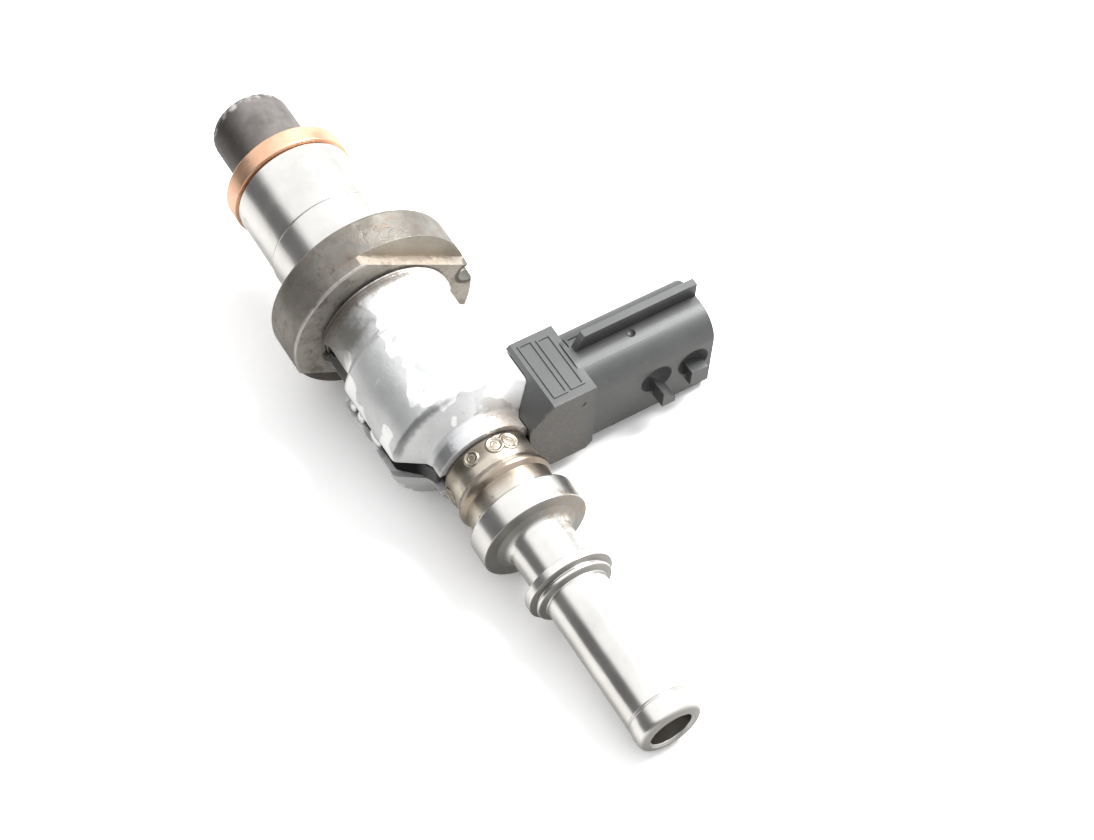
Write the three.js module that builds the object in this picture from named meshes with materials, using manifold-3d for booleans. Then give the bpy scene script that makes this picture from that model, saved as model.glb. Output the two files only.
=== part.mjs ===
// Solenoid fuel injector with a clamp collar, a two-pin side connector and a quick-connect inlet.
// Millimetres. +X runs along the injector from the nozzle to the inlet, +Y along the connector,
// +Z up. The origin is the centre of the flat face at the nozzle's end.
import * as THREE from 'three';
import { mergeVertices } from 'three/addons/utils/BufferGeometryUtils.js';
import Module from 'manifold-3d';

const wasm = await Module();
wasm.setup();

// ---- driving dimensions -------------------------------------------------------------------
const CLEARANCE = 0.1;            // radial gap between pieces that slide or press together
const FACE_GAP = 0.05;            // between end faces that touch
const CUT_GAP = 0.3;              // gap left where moulded plastic is cut round the yoke

const CAP_RADIUS = 5.4;
const CAP_EDGE_ROUND = 2.0;
const CAP_END_WALL = 1.5;
const CAP_BORE = 4.3;
const SPRAY_HOLES = 4;
const SPRAY_HOLE_RADIUS = 0.45;
const SPRAY_CIRCLE = 2.2;

const WASHER_START = 10.8;
const WASHER_THICKNESS = 2.7;
const WASHER_RADIUS = 8.3;
const WASHER_BORE = 5.5;
const WASHER_GAP = 0.2;           // groove between the washer and the sleeve behind it
const WASHER_END = WASHER_START + WASHER_THICKNESS;

const SLEEVE_RADIUS = 7.97;
const SLEEVE_CHAMFER = 0.5;
const SLEEVE_END = 23.25;
const SEAT_END = 8.6;             // the valve seat ends here and the sleeve's spigot follows
const NEEDLE_ENTRY = 2.3;         // the sleeve's narrow bore behind the valve seat
const GUIDE_START = 20.4;
const GUIDE_RADIUS = 5.9;
const GUIDE_THICKNESS = 2.0;
const SHIM_BORE = 4.0;
const HOUSING_RADIUS = 8.15;
const HOUSING_SHOULDER = 37.8;    // where the yoke's front edge stops against the housing
const HOUSING_END = 44.0;
const FUEL_BORE = 3.5;

const COLLAR_START = 31.05;
const COLLAR_END = 37.6;
const COLLAR_RADIUS = 12.4;
const FLAT_START = 36.0;
const FLAT_DISTANCE = 9.1;        // from the injector's axis to each of the two milled flats
const FLAT_ANGLE = THREE.MathUtils.degToRad(32);   // the upper flat, from +Z towards +Y
const NOTCH_DEPTH = 1.8;          // small notch in the collar's rim, on the connector's side
const NOTCH_FROM = [10.5, 0.6];   // its corners, as Y and Z
const NOTCH_TO = [13.5, 3.2];

const YOKE_THICKNESS = 1.2;
const YOKE_START = 37.9;
const YOKE_END = 62.0;
const YOKE_RADIUS = 9.95;
const YOKE_FRONT_NECK = 8.5;
const YOKE_LIP = 9.0;             // the flared edge that meets the clamp collar
const YOKE_FRONT_STEP = 1.5;
const YOKE_REAR_STEP = 2.2;
const YOKE_REAR_NECK = 6.35;
const YOKE_BODY_START = 45.2;
const YOKE_BODY_END = 57.4;
const SEAM_HALF = 1.55;           // half of the gap between the two half shells
const SEAM_RIB_HALF = 1.2;        // plastic rib in that gap, opposite the connector
const SEAM_RIB_TOP = 9.3;

const COIL_START = 46.7;
const COIL_END = 56.0;
const BOBBIN_BORE = 4.3;
const BOBBIN_RADIUS = 7.6;
const BOBBIN_WALL = 0.8;
const OVERMOULD_BORE = 7.8;
const OVERMOULD_RADIUS = 8.6;

const ARMATURE_RADIUS = 3.4;
const ARMATURE_START = 42.0;
const ARMATURE_END = 50.0;
const AIR_GAP = 0.15;             // a little more than the needle's lift of 0.1
const CORE_END = 60.2;
const CORE_BORE = 2.1;
const ADJUSTER_START = 54.2;      // the return spring ends here
const ADJUSTER_END = 59.5;
const ADJUSTER_BORE = 1.0;
const SPRING_RADIUS = 1.4;
const SPRING_WIRE = 0.28;
const SPRING_TURNS = 6;
const VALVE_TUBE_START = 40.2;
const VALVE_TUBE_END = 62.6;
const VALVE_TUBE_RADIUS = 4.1;

const NEEDLE_RADIUS = 0.9;
const NEEDLE_HEAD_X = 47.4;       // the head's shoulder rests in the armature's pocket
const NEEDLE_HEAD_RADIUS = 1.5;
const NEEDLE_HEAD_LENGTH = 0.6;
const BALL_RADIUS = 1.4;
const SEAT_OUTLET = 0.5;
const SEAT_CONE_START = 3.2;
const SEAT_GAP = 0.05;

const TINTED_TUBE_RADIUS = 5.65;     // heat-tinted tube between the yoke and the inlet collar
const TINTED_TUBE_END = 69.9;
const TINTED_SPIGOT_START = 58.4;
const RING_START = 65.6;
const RING_END = 67.4;
const RING_RADIUS = 6.1;
const INLET_COLLAR_RADIUS = 6.9;
const INLET_COLLAR_END = 73.6;
const INLET_TUBE_RADIUS = 3.95;
const INLET_BORE = 2.65;
const BEAD_START = 80.3;
const BEAD_RADIUS = 5.55;
const BEAD_WIDTH = 1.0;
const SECOND_BEAD_START = 81.7;
const SECOND_BEAD_END = 82.2;
const SECOND_BEAD_RADIUS = 4.8;
const NOSE_GROOVE = 99.5;         // shallow groove before the swollen end of the inlet tube
const NOSE_RADIUS = 4.05;
const INLET_END = 102.5;
const FILTER_START = 84.1;
const FILTER_END = 96.5;

const BLOCK_START = 52.35;
const BLOCK_END = 62.8;
const BLOCK_TOP = 6.1;
const BLOCK_INNER = 8.85;
const BLOCK_OUTER = 14.7;
const SOCKET_START = 52.6;
const SOCKET_SIDE = 62.0;
const SOCKET_TOP = 6.3;
const SOCKET_END = 32.2;
const SOCKET_WALL = 1.2;
const SOCKET_LATCH_WALL = 2.4;    // thicker wall behind the latch lugs
const SOCKET_FLOOR = 18.0;
const SOCKET_OVERLAP = 0.5;       // how far the socket runs into the block
const SOCKET_ROUND = 3.4;         // upper corners of the socket
const SOCKET_LOW_ROUND = 1.3;     // lower corners
const LUG_TOP = -0.3;
const LUG_BOTTOM = -2.9;
const TALL_LUG = { start: 23.85, end: 25.7, rise: 2.1, drop: 1.7, dimple: 24.1 };
const LOW_LUG = { start: 28.6, end: 31.0, rise: 1.1, drop: 0.2, dimple: 29.4 };
const DIMPLE_RADIUS = 2.2;        // round hollow in the socket's side behind each lug
const DIMPLE_DEPTH = 1.0;
const DIMPLE_Z = 0.2;
const RAIL_START = 56.3;
const RAIL_WIDTH = 1.0;
const RAIL_TOP = 8.0;
const RAIL_RAMP = 1.3;
const NECK_END = 57.6;            // inlet side of the neck between the coil and the block
const NECK_HALF = 3.0;
const OPENING_GAP = 0.4;          // between that neck and the yoke's opening
const TERMINAL_X = 56.5;
const TERMINAL_SPACING = 4.4;
const TERMINAL_WIDTH = 0.8;
const TERMINAL_THICKNESS = 0.6;
const TERMINAL_TIP = 27.0;

const ROUND_SIDES = 32;
const SMALL_SIDES = 16;
const CORNER_STEPS = 2;

// ---- helpers ------------------------------------------------------------------------------

// An outline from [x, radius, rounding] corners; a rounding above zero softens that corner.
function softened(corners) {
  const path = new THREE.Path();
  const count = corners.length;
  const at = (index) => new THREE.Vector2(...corners[(index + count) % count]);
  corners.forEach((corner, index) => {
    const here = at(index);
    const rounding = corner[2] ?? 0;
    const before = here.clone().add(at(index - 1).sub(here).setLength(rounding));
    const after = here.clone().add(at(index + 1).sub(here).setLength(rounding));
    if (index === 0) {
      path.moveTo(before.x, before.y);
    } else {
      path.lineTo(before.x, before.y);
    }
    if (rounding > 0) {
      path.quadraticCurveTo(here.x, here.y, after.x, after.y);
    }
  });
  return path.getPoints(CORNER_STEPS);
}

// Turns an outline of [x, radius, rounding] corners round the X axis. The corners go outwards
// along the nozzle side, back inwards along the inlet side, and end on the axis or where they began.
function turned(corners, sides = ROUND_SIDES) {
  const outline = softened(corners).map((point) => new THREE.Vector2(point.y, point.x));
  const touchesAxis = outline[0].x === 0;
  if (!touchesAxis) {
    outline.push(outline[0].clone());
  }
  const geometry = new THREE.LatheGeometry(outline, sides);
  geometry.rotateZ(-Math.PI / 2);
  return geometry;
}

// A plain tube round the X axis.
function ring(start, end, bore, radius, sides = ROUND_SIDES) {
  return turned([[start, bore], [start, radius], [end, radius], [end, bore]], sides);
}

// A flat outline of [y, z] points made thick from one x to another.
function alongX(outline, start, end) {
  const shape = new THREE.Shape(outline.map(([y, z]) => new THREE.Vector2(y, z)));
  const geometry = new THREE.ExtrudeGeometry(shape, { depth: end - start, bevelEnabled: false });
  geometry.translate(0, 0, start);
  const toX = new THREE.Matrix4().makeBasis(
    new THREE.Vector3(0, 1, 0),
    new THREE.Vector3(0, 0, 1),
    new THREE.Vector3(1, 0, 0),
  );
  return geometry.applyMatrix4(toX);
}

// A box with rounded edges along Y, between two x values, two z values and two y values.
function roundedPost([startX, endX], [low, high], [startY, endY], lowRound, highRound) {
  const outline = softened([
    [low, startX, lowRound],
    [high, startX, highRound],
    [high, endX, highRound],
    [low, endX, lowRound],
  ]);
  const shape = new THREE.Shape(outline);
  const options = { depth: endY - startY, bevelEnabled: false };
  const geometry = new THREE.ExtrudeGeometry(shape, options);
  geometry.translate(0, 0, startY);
  const toY = new THREE.Matrix4().makeBasis(
    new THREE.Vector3(0, 0, 1),
    new THREE.Vector3(1, 0, 0),
    new THREE.Vector3(0, 1, 0),
  );
  return geometry.applyMatrix4(toY);
}

function box([startX, endX], [startY, endY], [startZ, endZ]) {
  const geometry = new THREE.BoxGeometry(endX - startX, endY - startY, endZ - startZ);
  return geometry.translate((startX + endX) / 2, (startY + endY) / 2, (startZ + endZ) / 2);
}

function pinAlongX(start, end, radius, y, z, sides = 12) {
  const geometry = new THREE.CylinderGeometry(radius, radius, end - start, sides);
  geometry.rotateZ(-Math.PI / 2);
  return geometry.translate((start + end) / 2, y, z);
}

function solid(geometry) {
  const bare = geometry.clone();
  bare.deleteAttribute('normal');
  bare.deleteAttribute('uv');
  const merged = mergeVertices(bare, 1e-4);
  const mesh = new wasm.Mesh({
    numProp: 3,
    vertProperties: new Float32Array(merged.attributes.position.array),
    triVerts: new Uint32Array(merged.index.array),
  });
  return new wasm.Manifold(mesh);
}

function geometryOf(manifold) {
  const mesh = manifold.getMesh();
  const geometry = new THREE.BufferGeometry();
  geometry.setAttribute('position', new THREE.BufferAttribute(mesh.vertProperties, 3));
  geometry.setIndex(new THREE.BufferAttribute(mesh.triVerts, 1));
  geometry.computeVertexNormals();
  return geometry;
}

function joined(...geometries) {
  return geometries.map(solid).reduce((whole, piece) => whole.add(piece));
}

// Points spaced evenly on a circle round the X axis, as [y, z] pairs.
function onCircle(count, radius) {
  return Array.from({ length: count }, (_, index) => {
    const angle = ((index + 0.5) / count) * 2 * Math.PI;
    return [radius * Math.cos(angle), radius * Math.sin(angle)];
  });
}

function metal(color, roughness) {
  return new THREE.MeshStandardMaterial({ color, roughness, metalness: 1 });
}

function plastic(color, roughness) {
  return new THREE.MeshStandardMaterial({ color, roughness, metalness: 0 });
}

const injector = new THREE.Group();

function place(name, geometry, material) {
  const mesh = new THREE.Mesh(geometry, material);
  mesh.name = name;
  injector.add(mesh);
}

// ---- materials ----------------------------------------------------------------------------
const sootySteel = () => metal(0x4d463f, 0.7);
const copper = () => metal(0xb8653c, 0.35);
const polishedSteel = () => metal(0xc9c7c2, 0.2);
const tarnishedSteel = () => metal(0x6f675c, 0.55);
const zincSheet = () => metal(0xd6d6d2, 0.3);
const heatTintedSteel = () => metal(0x8d6a41, 0.35);
const innerSteel = () => metal(0x9a9a98, 0.35);
const enamelledCopper = () => metal(0x9a4f24, 0.4);
const tinnedContact = () => metal(0xc4c2b8, 0.3);
const darkNylon = () => plastic(0x55585a, 0.55);
const paleNylon = () => plastic(0xb7ad97, 0.6);

// ---- nozzle -------------------------------------------------------------------------------

function nozzleCap() {
  const cup = solid(turned([
    [0, 0],
    [0, CAP_RADIUS, CAP_EDGE_ROUND],
    [WASHER_START, CAP_RADIUS],
    [WASHER_START, CAP_BORE],
    [CAP_END_WALL, CAP_BORE],
    [CAP_END_WALL, 0],
  ]));
  const holes = onCircle(SPRAY_HOLES, SPRAY_CIRCLE).map(([y, z]) => (
    solid(pinAlongX(-1, CAP_END_WALL + 1, SPRAY_HOLE_RADIUS, y, z))
  ));
  return geometryOf(holes.reduce((cap, hole) => cap.subtract(hole), cup));
}

function valveSeat() {
  const front = CAP_END_WALL + CLEARANCE;
  const radius = CAP_BORE - CLEARANCE;
  const pocket = 0.5;
  const sprayPocket = SPRAY_CIRCLE + 2 * SPRAY_HOLE_RADIUS;
  const guide = BALL_RADIUS + 0.5;
  return turned([
    [front, sprayPocket],
    [front, radius],
    [SEAT_END, radius],
    [SEAT_END, guide],
    [SEAT_CONE_START + guide - SEAT_OUTLET, guide],
    [SEAT_CONE_START, SEAT_OUTLET],
    [front + pocket, SEAT_OUTLET],
    [front + pocket, sprayPocket],
  ], SMALL_SIDES);
}

function copperWasher() {
  const edge = 0.3;
  return turned([
    [WASHER_START + FACE_GAP, WASHER_BORE],
    [WASHER_START + FACE_GAP, WASHER_RADIUS, edge],
    [WASHER_END, WASHER_RADIUS, edge],
    [WASHER_END, WASHER_BORE],
  ]);
}

function nozzleSleeve() {
  const spigot = CAP_BORE - CLEARANCE;
  const spigotStart = SEAT_END + 2 * CLEARANCE;
  const shank = WASHER_BORE - 2 * CLEARANCE;
  const shoulder = WASHER_END + WASHER_GAP;
  const guidePocket = GUIDE_RADIUS + CLEARANCE;
  const boreTaper = FUEL_BORE - NEEDLE_ENTRY;
  return turned([
    [spigotStart, NEEDLE_ENTRY],
    [spigotStart, spigot],
    [WASHER_START + FACE_GAP, spigot],
    [WASHER_START + FACE_GAP, shank],
    [shoulder, shank],
    [shoulder, SLEEVE_RADIUS - SLEEVE_CHAMFER],
    [shoulder + SLEEVE_CHAMFER, SLEEVE_RADIUS],
    [SLEEVE_END, SLEEVE_RADIUS],
    [SLEEVE_END, guidePocket],
    [GUIDE_START, guidePocket],
    [GUIDE_START, FUEL_BORE],
    [WASHER_START + boreTaper, FUEL_BORE],
    [WASHER_START, NEEDLE_ENTRY],
  ]);
}

function needleGuide() {
  const start = GUIDE_START + FACE_GAP;
  const end = start + GUIDE_THICKNESS;
  const portCircle = 2.35;
  const portRadius = 0.6;
  const plate = solid(ring(start, end, NEEDLE_RADIUS + CLEARANCE, GUIDE_RADIUS, SMALL_SIDES));
  const ports = onCircle(4, portCircle).map(([y, z]) => (
    solid(pinAlongX(start - 1, end + 1, portRadius, y, z, 8))
  ));
  return geometryOf(ports.reduce((guide, port) => guide.subtract(port), plate));
}

function liftShim() {
  const start = GUIDE_START + GUIDE_THICKNESS + 2 * FACE_GAP;
  return ring(start, SLEEVE_END - FACE_GAP, SHIM_BORE, GUIDE_RADIUS, SMALL_SIDES);
}

// ---- valve housing and clamp collar ---------------------------------------------------------

function valveHousing() {
  const start = SLEEVE_END + FACE_GAP;
  const spigot = YOKE_FRONT_NECK - YOKE_THICKNESS - CLEARANCE;
  const socket = VALVE_TUBE_RADIUS + CLEARANCE;
  return turned([
    [start, FUEL_BORE],
    [start, HOUSING_RADIUS],
    [HOUSING_SHOULDER, HOUSING_RADIUS],
    [HOUSING_SHOULDER, spigot],
    [HOUSING_END, spigot],
    [HOUSING_END, socket],
    [VALVE_TUBE_START - 0.1, socket],
    [VALVE_TUBE_START - 0.1, FUEL_BORE],
  ]);
}

// A slab that stands on one milled flat, turned to that flat's own direction.
function flatCutter(angle) {
  const reach = 20;
  const slab = new THREE.BoxGeometry(reach, 2 * reach, reach);
  slab.translate(FLAT_START + reach / 2, 0, FLAT_DISTANCE + reach / 2);
  return solid(slab.rotateX(-angle));
}

function clampCollar() {
  const edge = 0.35;
  const blank = solid(turned([
    [COLLAR_START, HOUSING_RADIUS + CLEARANCE],
    [COLLAR_START, COLLAR_RADIUS, edge],
    [COLLAR_END, COLLAR_RADIUS, edge],
    [COLLAR_END, HOUSING_RADIUS + CLEARANCE],
  ]));
  const notch = solid(box(
    [COLLAR_END - NOTCH_DEPTH, COLLAR_END + 1],
    [NOTCH_FROM[0], NOTCH_TO[0]],
    [NOTCH_FROM[1], NOTCH_TO[1]],
  ));
  const milled = blank.subtract(flatCutter(FLAT_ANGLE)).subtract(flatCutter(FLAT_ANGLE + Math.PI));
  return geometryOf(milled.subtract(notch));
}

// ---- solenoid yoke --------------------------------------------------------------------------

// The yoke's wall, moved in by inset: 0 gives its outside and the sheet's thickness its inside.
function yokeCorners(inset) {
  const bend = inset > 0 ? 0.4 : 1.2;
  const lipEnd = YOKE_START + 0.6;
  const lipStep = YOKE_LIP - YOKE_FRONT_NECK;
  const coneEnd = YOKE_BODY_END + YOKE_REAR_STEP;
  const coneFoot = 0.3;
  return [
    [YOKE_START, YOKE_LIP - inset],
    [lipEnd, YOKE_LIP - inset],
    [lipEnd + lipStep, YOKE_FRONT_NECK - inset],
    [YOKE_BODY_START - YOKE_FRONT_STEP + inset, YOKE_FRONT_NECK - inset, bend / 2],
    [YOKE_BODY_START + inset, YOKE_RADIUS - inset, bend],
    [YOKE_BODY_END - inset, YOKE_RADIUS - inset, bend],
    [coneEnd - inset, YOKE_REAR_NECK + coneFoot - inset, bend / 2],
    [coneEnd + 2 * coneFoot - inset, YOKE_REAR_NECK - inset],
    [YOKE_END, YOKE_REAR_NECK - inset],
  ];
}

function yokeShell(side) {
  const shell = solid(turned([...yokeCorners(0), ...yokeCorners(YOKE_THICKNESS).reverse()]));
  const reach = 20;
  const cut = side > 0 ? [SEAM_HALF, reach] : [-reach, -SEAM_HALF];
  const half = solid(box([YOKE_START - 1, YOKE_END + 1], [-reach, reach], cut));
  const width = NECK_HALF + OPENING_GAP;
  const opening = solid(box(
    [BLOCK_START - CUT_GAP, NECK_END + OPENING_GAP + CLEARANCE],
    [0, reach],
    [-width, width],
  ));
  return geometryOf(shell.intersect(half).subtract(opening));
}

// ---- coil -----------------------------------------------------------------------------------

function coilBobbin() {
  const tube = BOBBIN_BORE + BOBBIN_WALL;
  return turned([
    [COIL_START, BOBBIN_BORE],
    [COIL_START, BOBBIN_RADIUS],
    [COIL_START + BOBBIN_WALL, BOBBIN_RADIUS],
    [COIL_START + BOBBIN_WALL, tube],
    [COIL_END - BOBBIN_WALL, tube],
    [COIL_END - BOBBIN_WALL, BOBBIN_RADIUS],
    [COIL_END, BOBBIN_RADIUS],
    [COIL_END, BOBBIN_BORE],
  ], SMALL_SIDES);
}

function coilWinding() {
  const start = COIL_START + BOBBIN_WALL + CLEARANCE;
  const end = COIL_END - BOBBIN_WALL - CLEARANCE;
  const tube = BOBBIN_BORE + BOBBIN_WALL;
  return ring(start, end, tube + CLEARANCE, BOBBIN_RADIUS - 0.3, SMALL_SIDES);
}

// ---- connector ------------------------------------------------------------------------------

// Everything the plastic must stay clear of: the yoke and the tube behind it, grown by a gap.
function steelKeepOut() {
  const grown = yokeCorners(0).map(([x, radius, bend]) => [x, radius + CUT_GAP, bend]);
  return solid(turned([
    [YOKE_START, 0],
    ...grown,
    [YOKE_END + CUT_GAP, YOKE_REAR_NECK + CUT_GAP],
    [YOKE_END + CUT_GAP, TINTED_TUBE_RADIUS + CUT_GAP],
    [BLOCK_END + 2, TINTED_TUBE_RADIUS + CUT_GAP],
    [BLOCK_END + 2, 0],
  ]));
}

function connectorBlock() {
  const throat = 5.6;             // how far the sloped faces run in towards the axis
  const throatHalf = NECK_HALF;
  const chamfer = 0.9;
  const outline = [
    [BLOCK_OUTER, BLOCK_TOP],
    [BLOCK_INNER, BLOCK_TOP],
    [throat, throatHalf],
    [throat, -throatHalf],
    [BLOCK_INNER, -BLOCK_TOP],
    [BLOCK_OUTER - chamfer, -BLOCK_TOP],
    [BLOCK_OUTER, chamfer - BLOCK_TOP],
  ];
  return solid(alongX(outline, BLOCK_START, BLOCK_END)).subtract(steelKeepOut());
}

// The plastic round the coil, with the rib that fills the seam opposite the connector
// and the neck that passes out through the yoke's opening.
function coilOvermould() {
  const ribLength = [COIL_START - 1.2, COIL_END + 0.8];
  const ribFoot = OVERMOULD_BORE + 0.3;
  const neckFoot = OVERMOULD_BORE + 0.1;
  return joined(
    ring(COIL_START, COIL_END, OVERMOULD_BORE, OVERMOULD_RADIUS),
    box(ribLength, [-SEAM_RIB_TOP, -ribFoot], [-SEAM_RIB_HALF, SEAM_RIB_HALF]),
    box([BLOCK_START + CUT_GAP, NECK_END], [neckFoot, BLOCK_OUTER - 2], [-NECK_HALF, NECK_HALF]),
  );
}

function socketShell() {
  const inset = SOCKET_WALL;
  const outside = solid(roundedPost(
    [SOCKET_START, SOCKET_SIDE],
    [-SOCKET_TOP, SOCKET_TOP],
    [BLOCK_OUTER - SOCKET_OVERLAP, SOCKET_END],
    SOCKET_LOW_ROUND,
    SOCKET_ROUND,
  ));
  const cavity = solid(roundedPost(
    [SOCKET_START + inset, SOCKET_SIDE - SOCKET_LATCH_WALL],
    [-SOCKET_TOP + inset, SOCKET_TOP - inset],
    [SOCKET_FLOOR, SOCKET_END + 1],
    SOCKET_LOW_ROUND / 2,
    SOCKET_ROUND - inset,
  ));
  return { outside, cavity };
}

function guideRail() {
  const foot = BLOCK_OUTER + 0.2;
  const root = BLOCK_TOP - 0.6;
  return solid(alongX([
    [foot, root],
    [foot, BLOCK_TOP],
    [foot + RAIL_RAMP, RAIL_TOP],
    [SOCKET_END, RAIL_TOP],
    [SOCKET_END, root],
  ], RAIL_START, RAIL_START + RAIL_WIDTH));
}

// A lug that the plug's latch snaps behind: square on the block's side, its top falling by drop
// towards the mouth. It stands on the socket's side and rises from it along +X.
function latchLug({ start, end, rise, drop }) {
  const root = 1.4;
  return solid(alongX([
    [start, LUG_BOTTOM],
    [start, LUG_TOP],
    [end, LUG_TOP - drop],
    [end, LUG_BOTTOM],
  ], SOCKET_SIDE - root, SOCKET_SIDE + rise));
}

// The ball that leaves a round hollow of the wanted radius and depth in the socket's side.
function dimpleCutter(y) {
  const ballRadius = (DIMPLE_RADIUS ** 2 + DIMPLE_DEPTH ** 2) / (2 * DIMPLE_DEPTH);
  const ball = new THREE.SphereGeometry(ballRadius, SMALL_SIDES, SMALL_SIDES / 2);
  return solid(ball.translate(SOCKET_SIDE + ballRadius - DIMPLE_DEPTH, y, DIMPLE_Z));
}

function terminalChannel(side) {
  const middle = (side * TERMINAL_SPACING) / 2;
  const halfWidth = TERMINAL_WIDTH / 2 + CLEARANCE;
  const halfThickness = TERMINAL_THICKNESS / 2 + CLEARANCE;
  return solid(box(
    [TERMINAL_X - halfThickness, TERMINAL_X + halfThickness],
    [OVERMOULD_BORE - 1, SOCKET_FLOOR + 1],
    [middle - halfWidth, middle + halfWidth],
  ));
}

function connectorBody() {
  const { outside, cavity } = socketShell();
  const body = connectorBlock()
    .add(coilOvermould())
    .add(outside)
    .add(guideRail())
    .subtract(dimpleCutter(TALL_LUG.dimple))
    .subtract(dimpleCutter(LOW_LUG.dimple))
    .add(latchLug(TALL_LUG))
    .add(latchLug(LOW_LUG))
    .subtract(cavity)
    .subtract(terminalChannel(1))
    .subtract(terminalChannel(-1));
  return geometryOf(body);
}

function terminal(side) {
  const middle = (side * TERMINAL_SPACING) / 2;
  const halfThickness = TERMINAL_THICKNESS / 2;
  const halfWidth = TERMINAL_WIDTH / 2;
  const taper = 0.2;
  const outline = [
    [OVERMOULD_BORE, middle - halfWidth],
    [TERMINAL_TIP - 1, middle - halfWidth],
    [TERMINAL_TIP, middle - halfWidth + taper],
    [TERMINAL_TIP, middle + halfWidth - taper],
    [TERMINAL_TIP - 1, middle + halfWidth],
    [OVERMOULD_BORE, middle + halfWidth],
  ];
  return alongX(outline, TERMINAL_X - halfThickness, TERMINAL_X + halfThickness);
}

// ---- valve ----------------------------------------------------------------------------------

function needle() {
  const ballCentre = SEAT_CONE_START - SEAT_OUTLET + (BALL_RADIUS + SEAT_GAP) * Math.SQRT2;
  const ballSteps = 6;
  const neckAngle = Math.PI - Math.asin(NEEDLE_RADIUS / BALL_RADIUS);
  const ball = Array.from({ length: ballSteps + 1 }, (_, index) => {
    const angle = (index / ballSteps) * neckAngle;
    return [ballCentre - BALL_RADIUS * Math.cos(angle), BALL_RADIUS * Math.sin(angle)];
  });
  const headEnd = NEEDLE_HEAD_X + NEEDLE_HEAD_LENGTH;
  return turned([
    ...ball,
    [NEEDLE_HEAD_X, NEEDLE_RADIUS],
    [NEEDLE_HEAD_X, NEEDLE_HEAD_RADIUS],
    [headEnd, NEEDLE_HEAD_RADIUS],
    [headEnd, 0],
  ], SMALL_SIDES);
}

function armature() {
  const springPocket = SPRING_RADIUS + 0.5;
  const bore = NEEDLE_RADIUS + CLEARANCE / 2;
  const edge = 0.3;
  const portCircle = 2.6;
  const portRadius = 0.4;
  const block = solid(turned([
    [ARMATURE_START, bore],
    [ARMATURE_START, ARMATURE_RADIUS, edge],
    [ARMATURE_END, ARMATURE_RADIUS, edge],
    [ARMATURE_END, springPocket],
    [NEEDLE_HEAD_X, springPocket],
    [NEEDLE_HEAD_X, bore],
  ], SMALL_SIDES));
  const ports = onCircle(4, portCircle).map(([y, z]) => (
    solid(pinAlongX(ARMATURE_START - 1, ARMATURE_END + 1, portRadius, y, z, 8))
  ));
  return geometryOf(ports.reduce((piece, port) => piece.subtract(port), block));
}

function fixedCore() {
  const radius = FUEL_BORE - CLEARANCE;
  return ring(ARMATURE_END + AIR_GAP, CORE_END, CORE_BORE, radius, SMALL_SIDES);
}

function valveTube() {
  return ring(VALVE_TUBE_START, VALVE_TUBE_END, FUEL_BORE, VALVE_TUBE_RADIUS);
}

class Helix extends THREE.Curve {
  constructor(start, length, radius, turns) {
    super();
    Object.assign(this, { start, length, radius, turns });
  }

  getPoint(share, target = new THREE.Vector3()) {
    const angle = share * this.turns * 2 * Math.PI;
    const y = this.radius * Math.cos(angle);
    const z = this.radius * Math.sin(angle);
    return target.set(this.start + share * this.length, y, z);
  }
}

function returnSpring() {
  const start = NEEDLE_HEAD_X + NEEDLE_HEAD_LENGTH + SPRING_WIRE + FACE_GAP;
  const end = ADJUSTER_START - SPRING_WIRE - FACE_GAP;
  const section = new THREE.Shape();
  section.absarc(0, 0, SPRING_WIRE, 0, 2 * Math.PI);
  return new THREE.ExtrudeGeometry(section, {
    curveSegments: 2,
    steps: SPRING_TURNS * 10,
    extrudePath: new Helix(start, end - start, SPRING_RADIUS, SPRING_TURNS),
  });
}

function springAdjuster() {
  return ring(ADJUSTER_START, ADJUSTER_END, ADJUSTER_BORE, CORE_BORE - CLEARANCE, SMALL_SIDES);
}

// ---- inlet ----------------------------------------------------------------------------------

function inletSleeve() {
  const spigot = YOKE_REAR_NECK - YOKE_THICKNESS - CLEARANCE;
  const socket = VALVE_TUBE_RADIUS + CLEARANCE;
  const shoulder = YOKE_END + CLEARANCE;
  return turned([
    [TINTED_SPIGOT_START, socket],
    [TINTED_SPIGOT_START, spigot],
    [shoulder, spigot],
    [shoulder, TINTED_TUBE_RADIUS],
    [TINTED_TUBE_END, TINTED_TUBE_RADIUS],
    [TINTED_TUBE_END, INLET_BORE],
    [VALVE_TUBE_END + 0.2, INLET_BORE],
    [VALVE_TUBE_END + 0.2, socket],
  ]);
}

function retainingRing() {
  const bore = TINTED_TUBE_RADIUS + CLEARANCE;
  const edge = 0.5;
  const side = RING_RADIUS - 0.2;
  return turned([
    [RING_START, bore],
    [RING_START, side],
    [RING_START + edge, RING_RADIUS],
    [RING_END - edge, RING_RADIUS],
    [RING_END, side],
    [RING_END, bore],
  ]);
}

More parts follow.
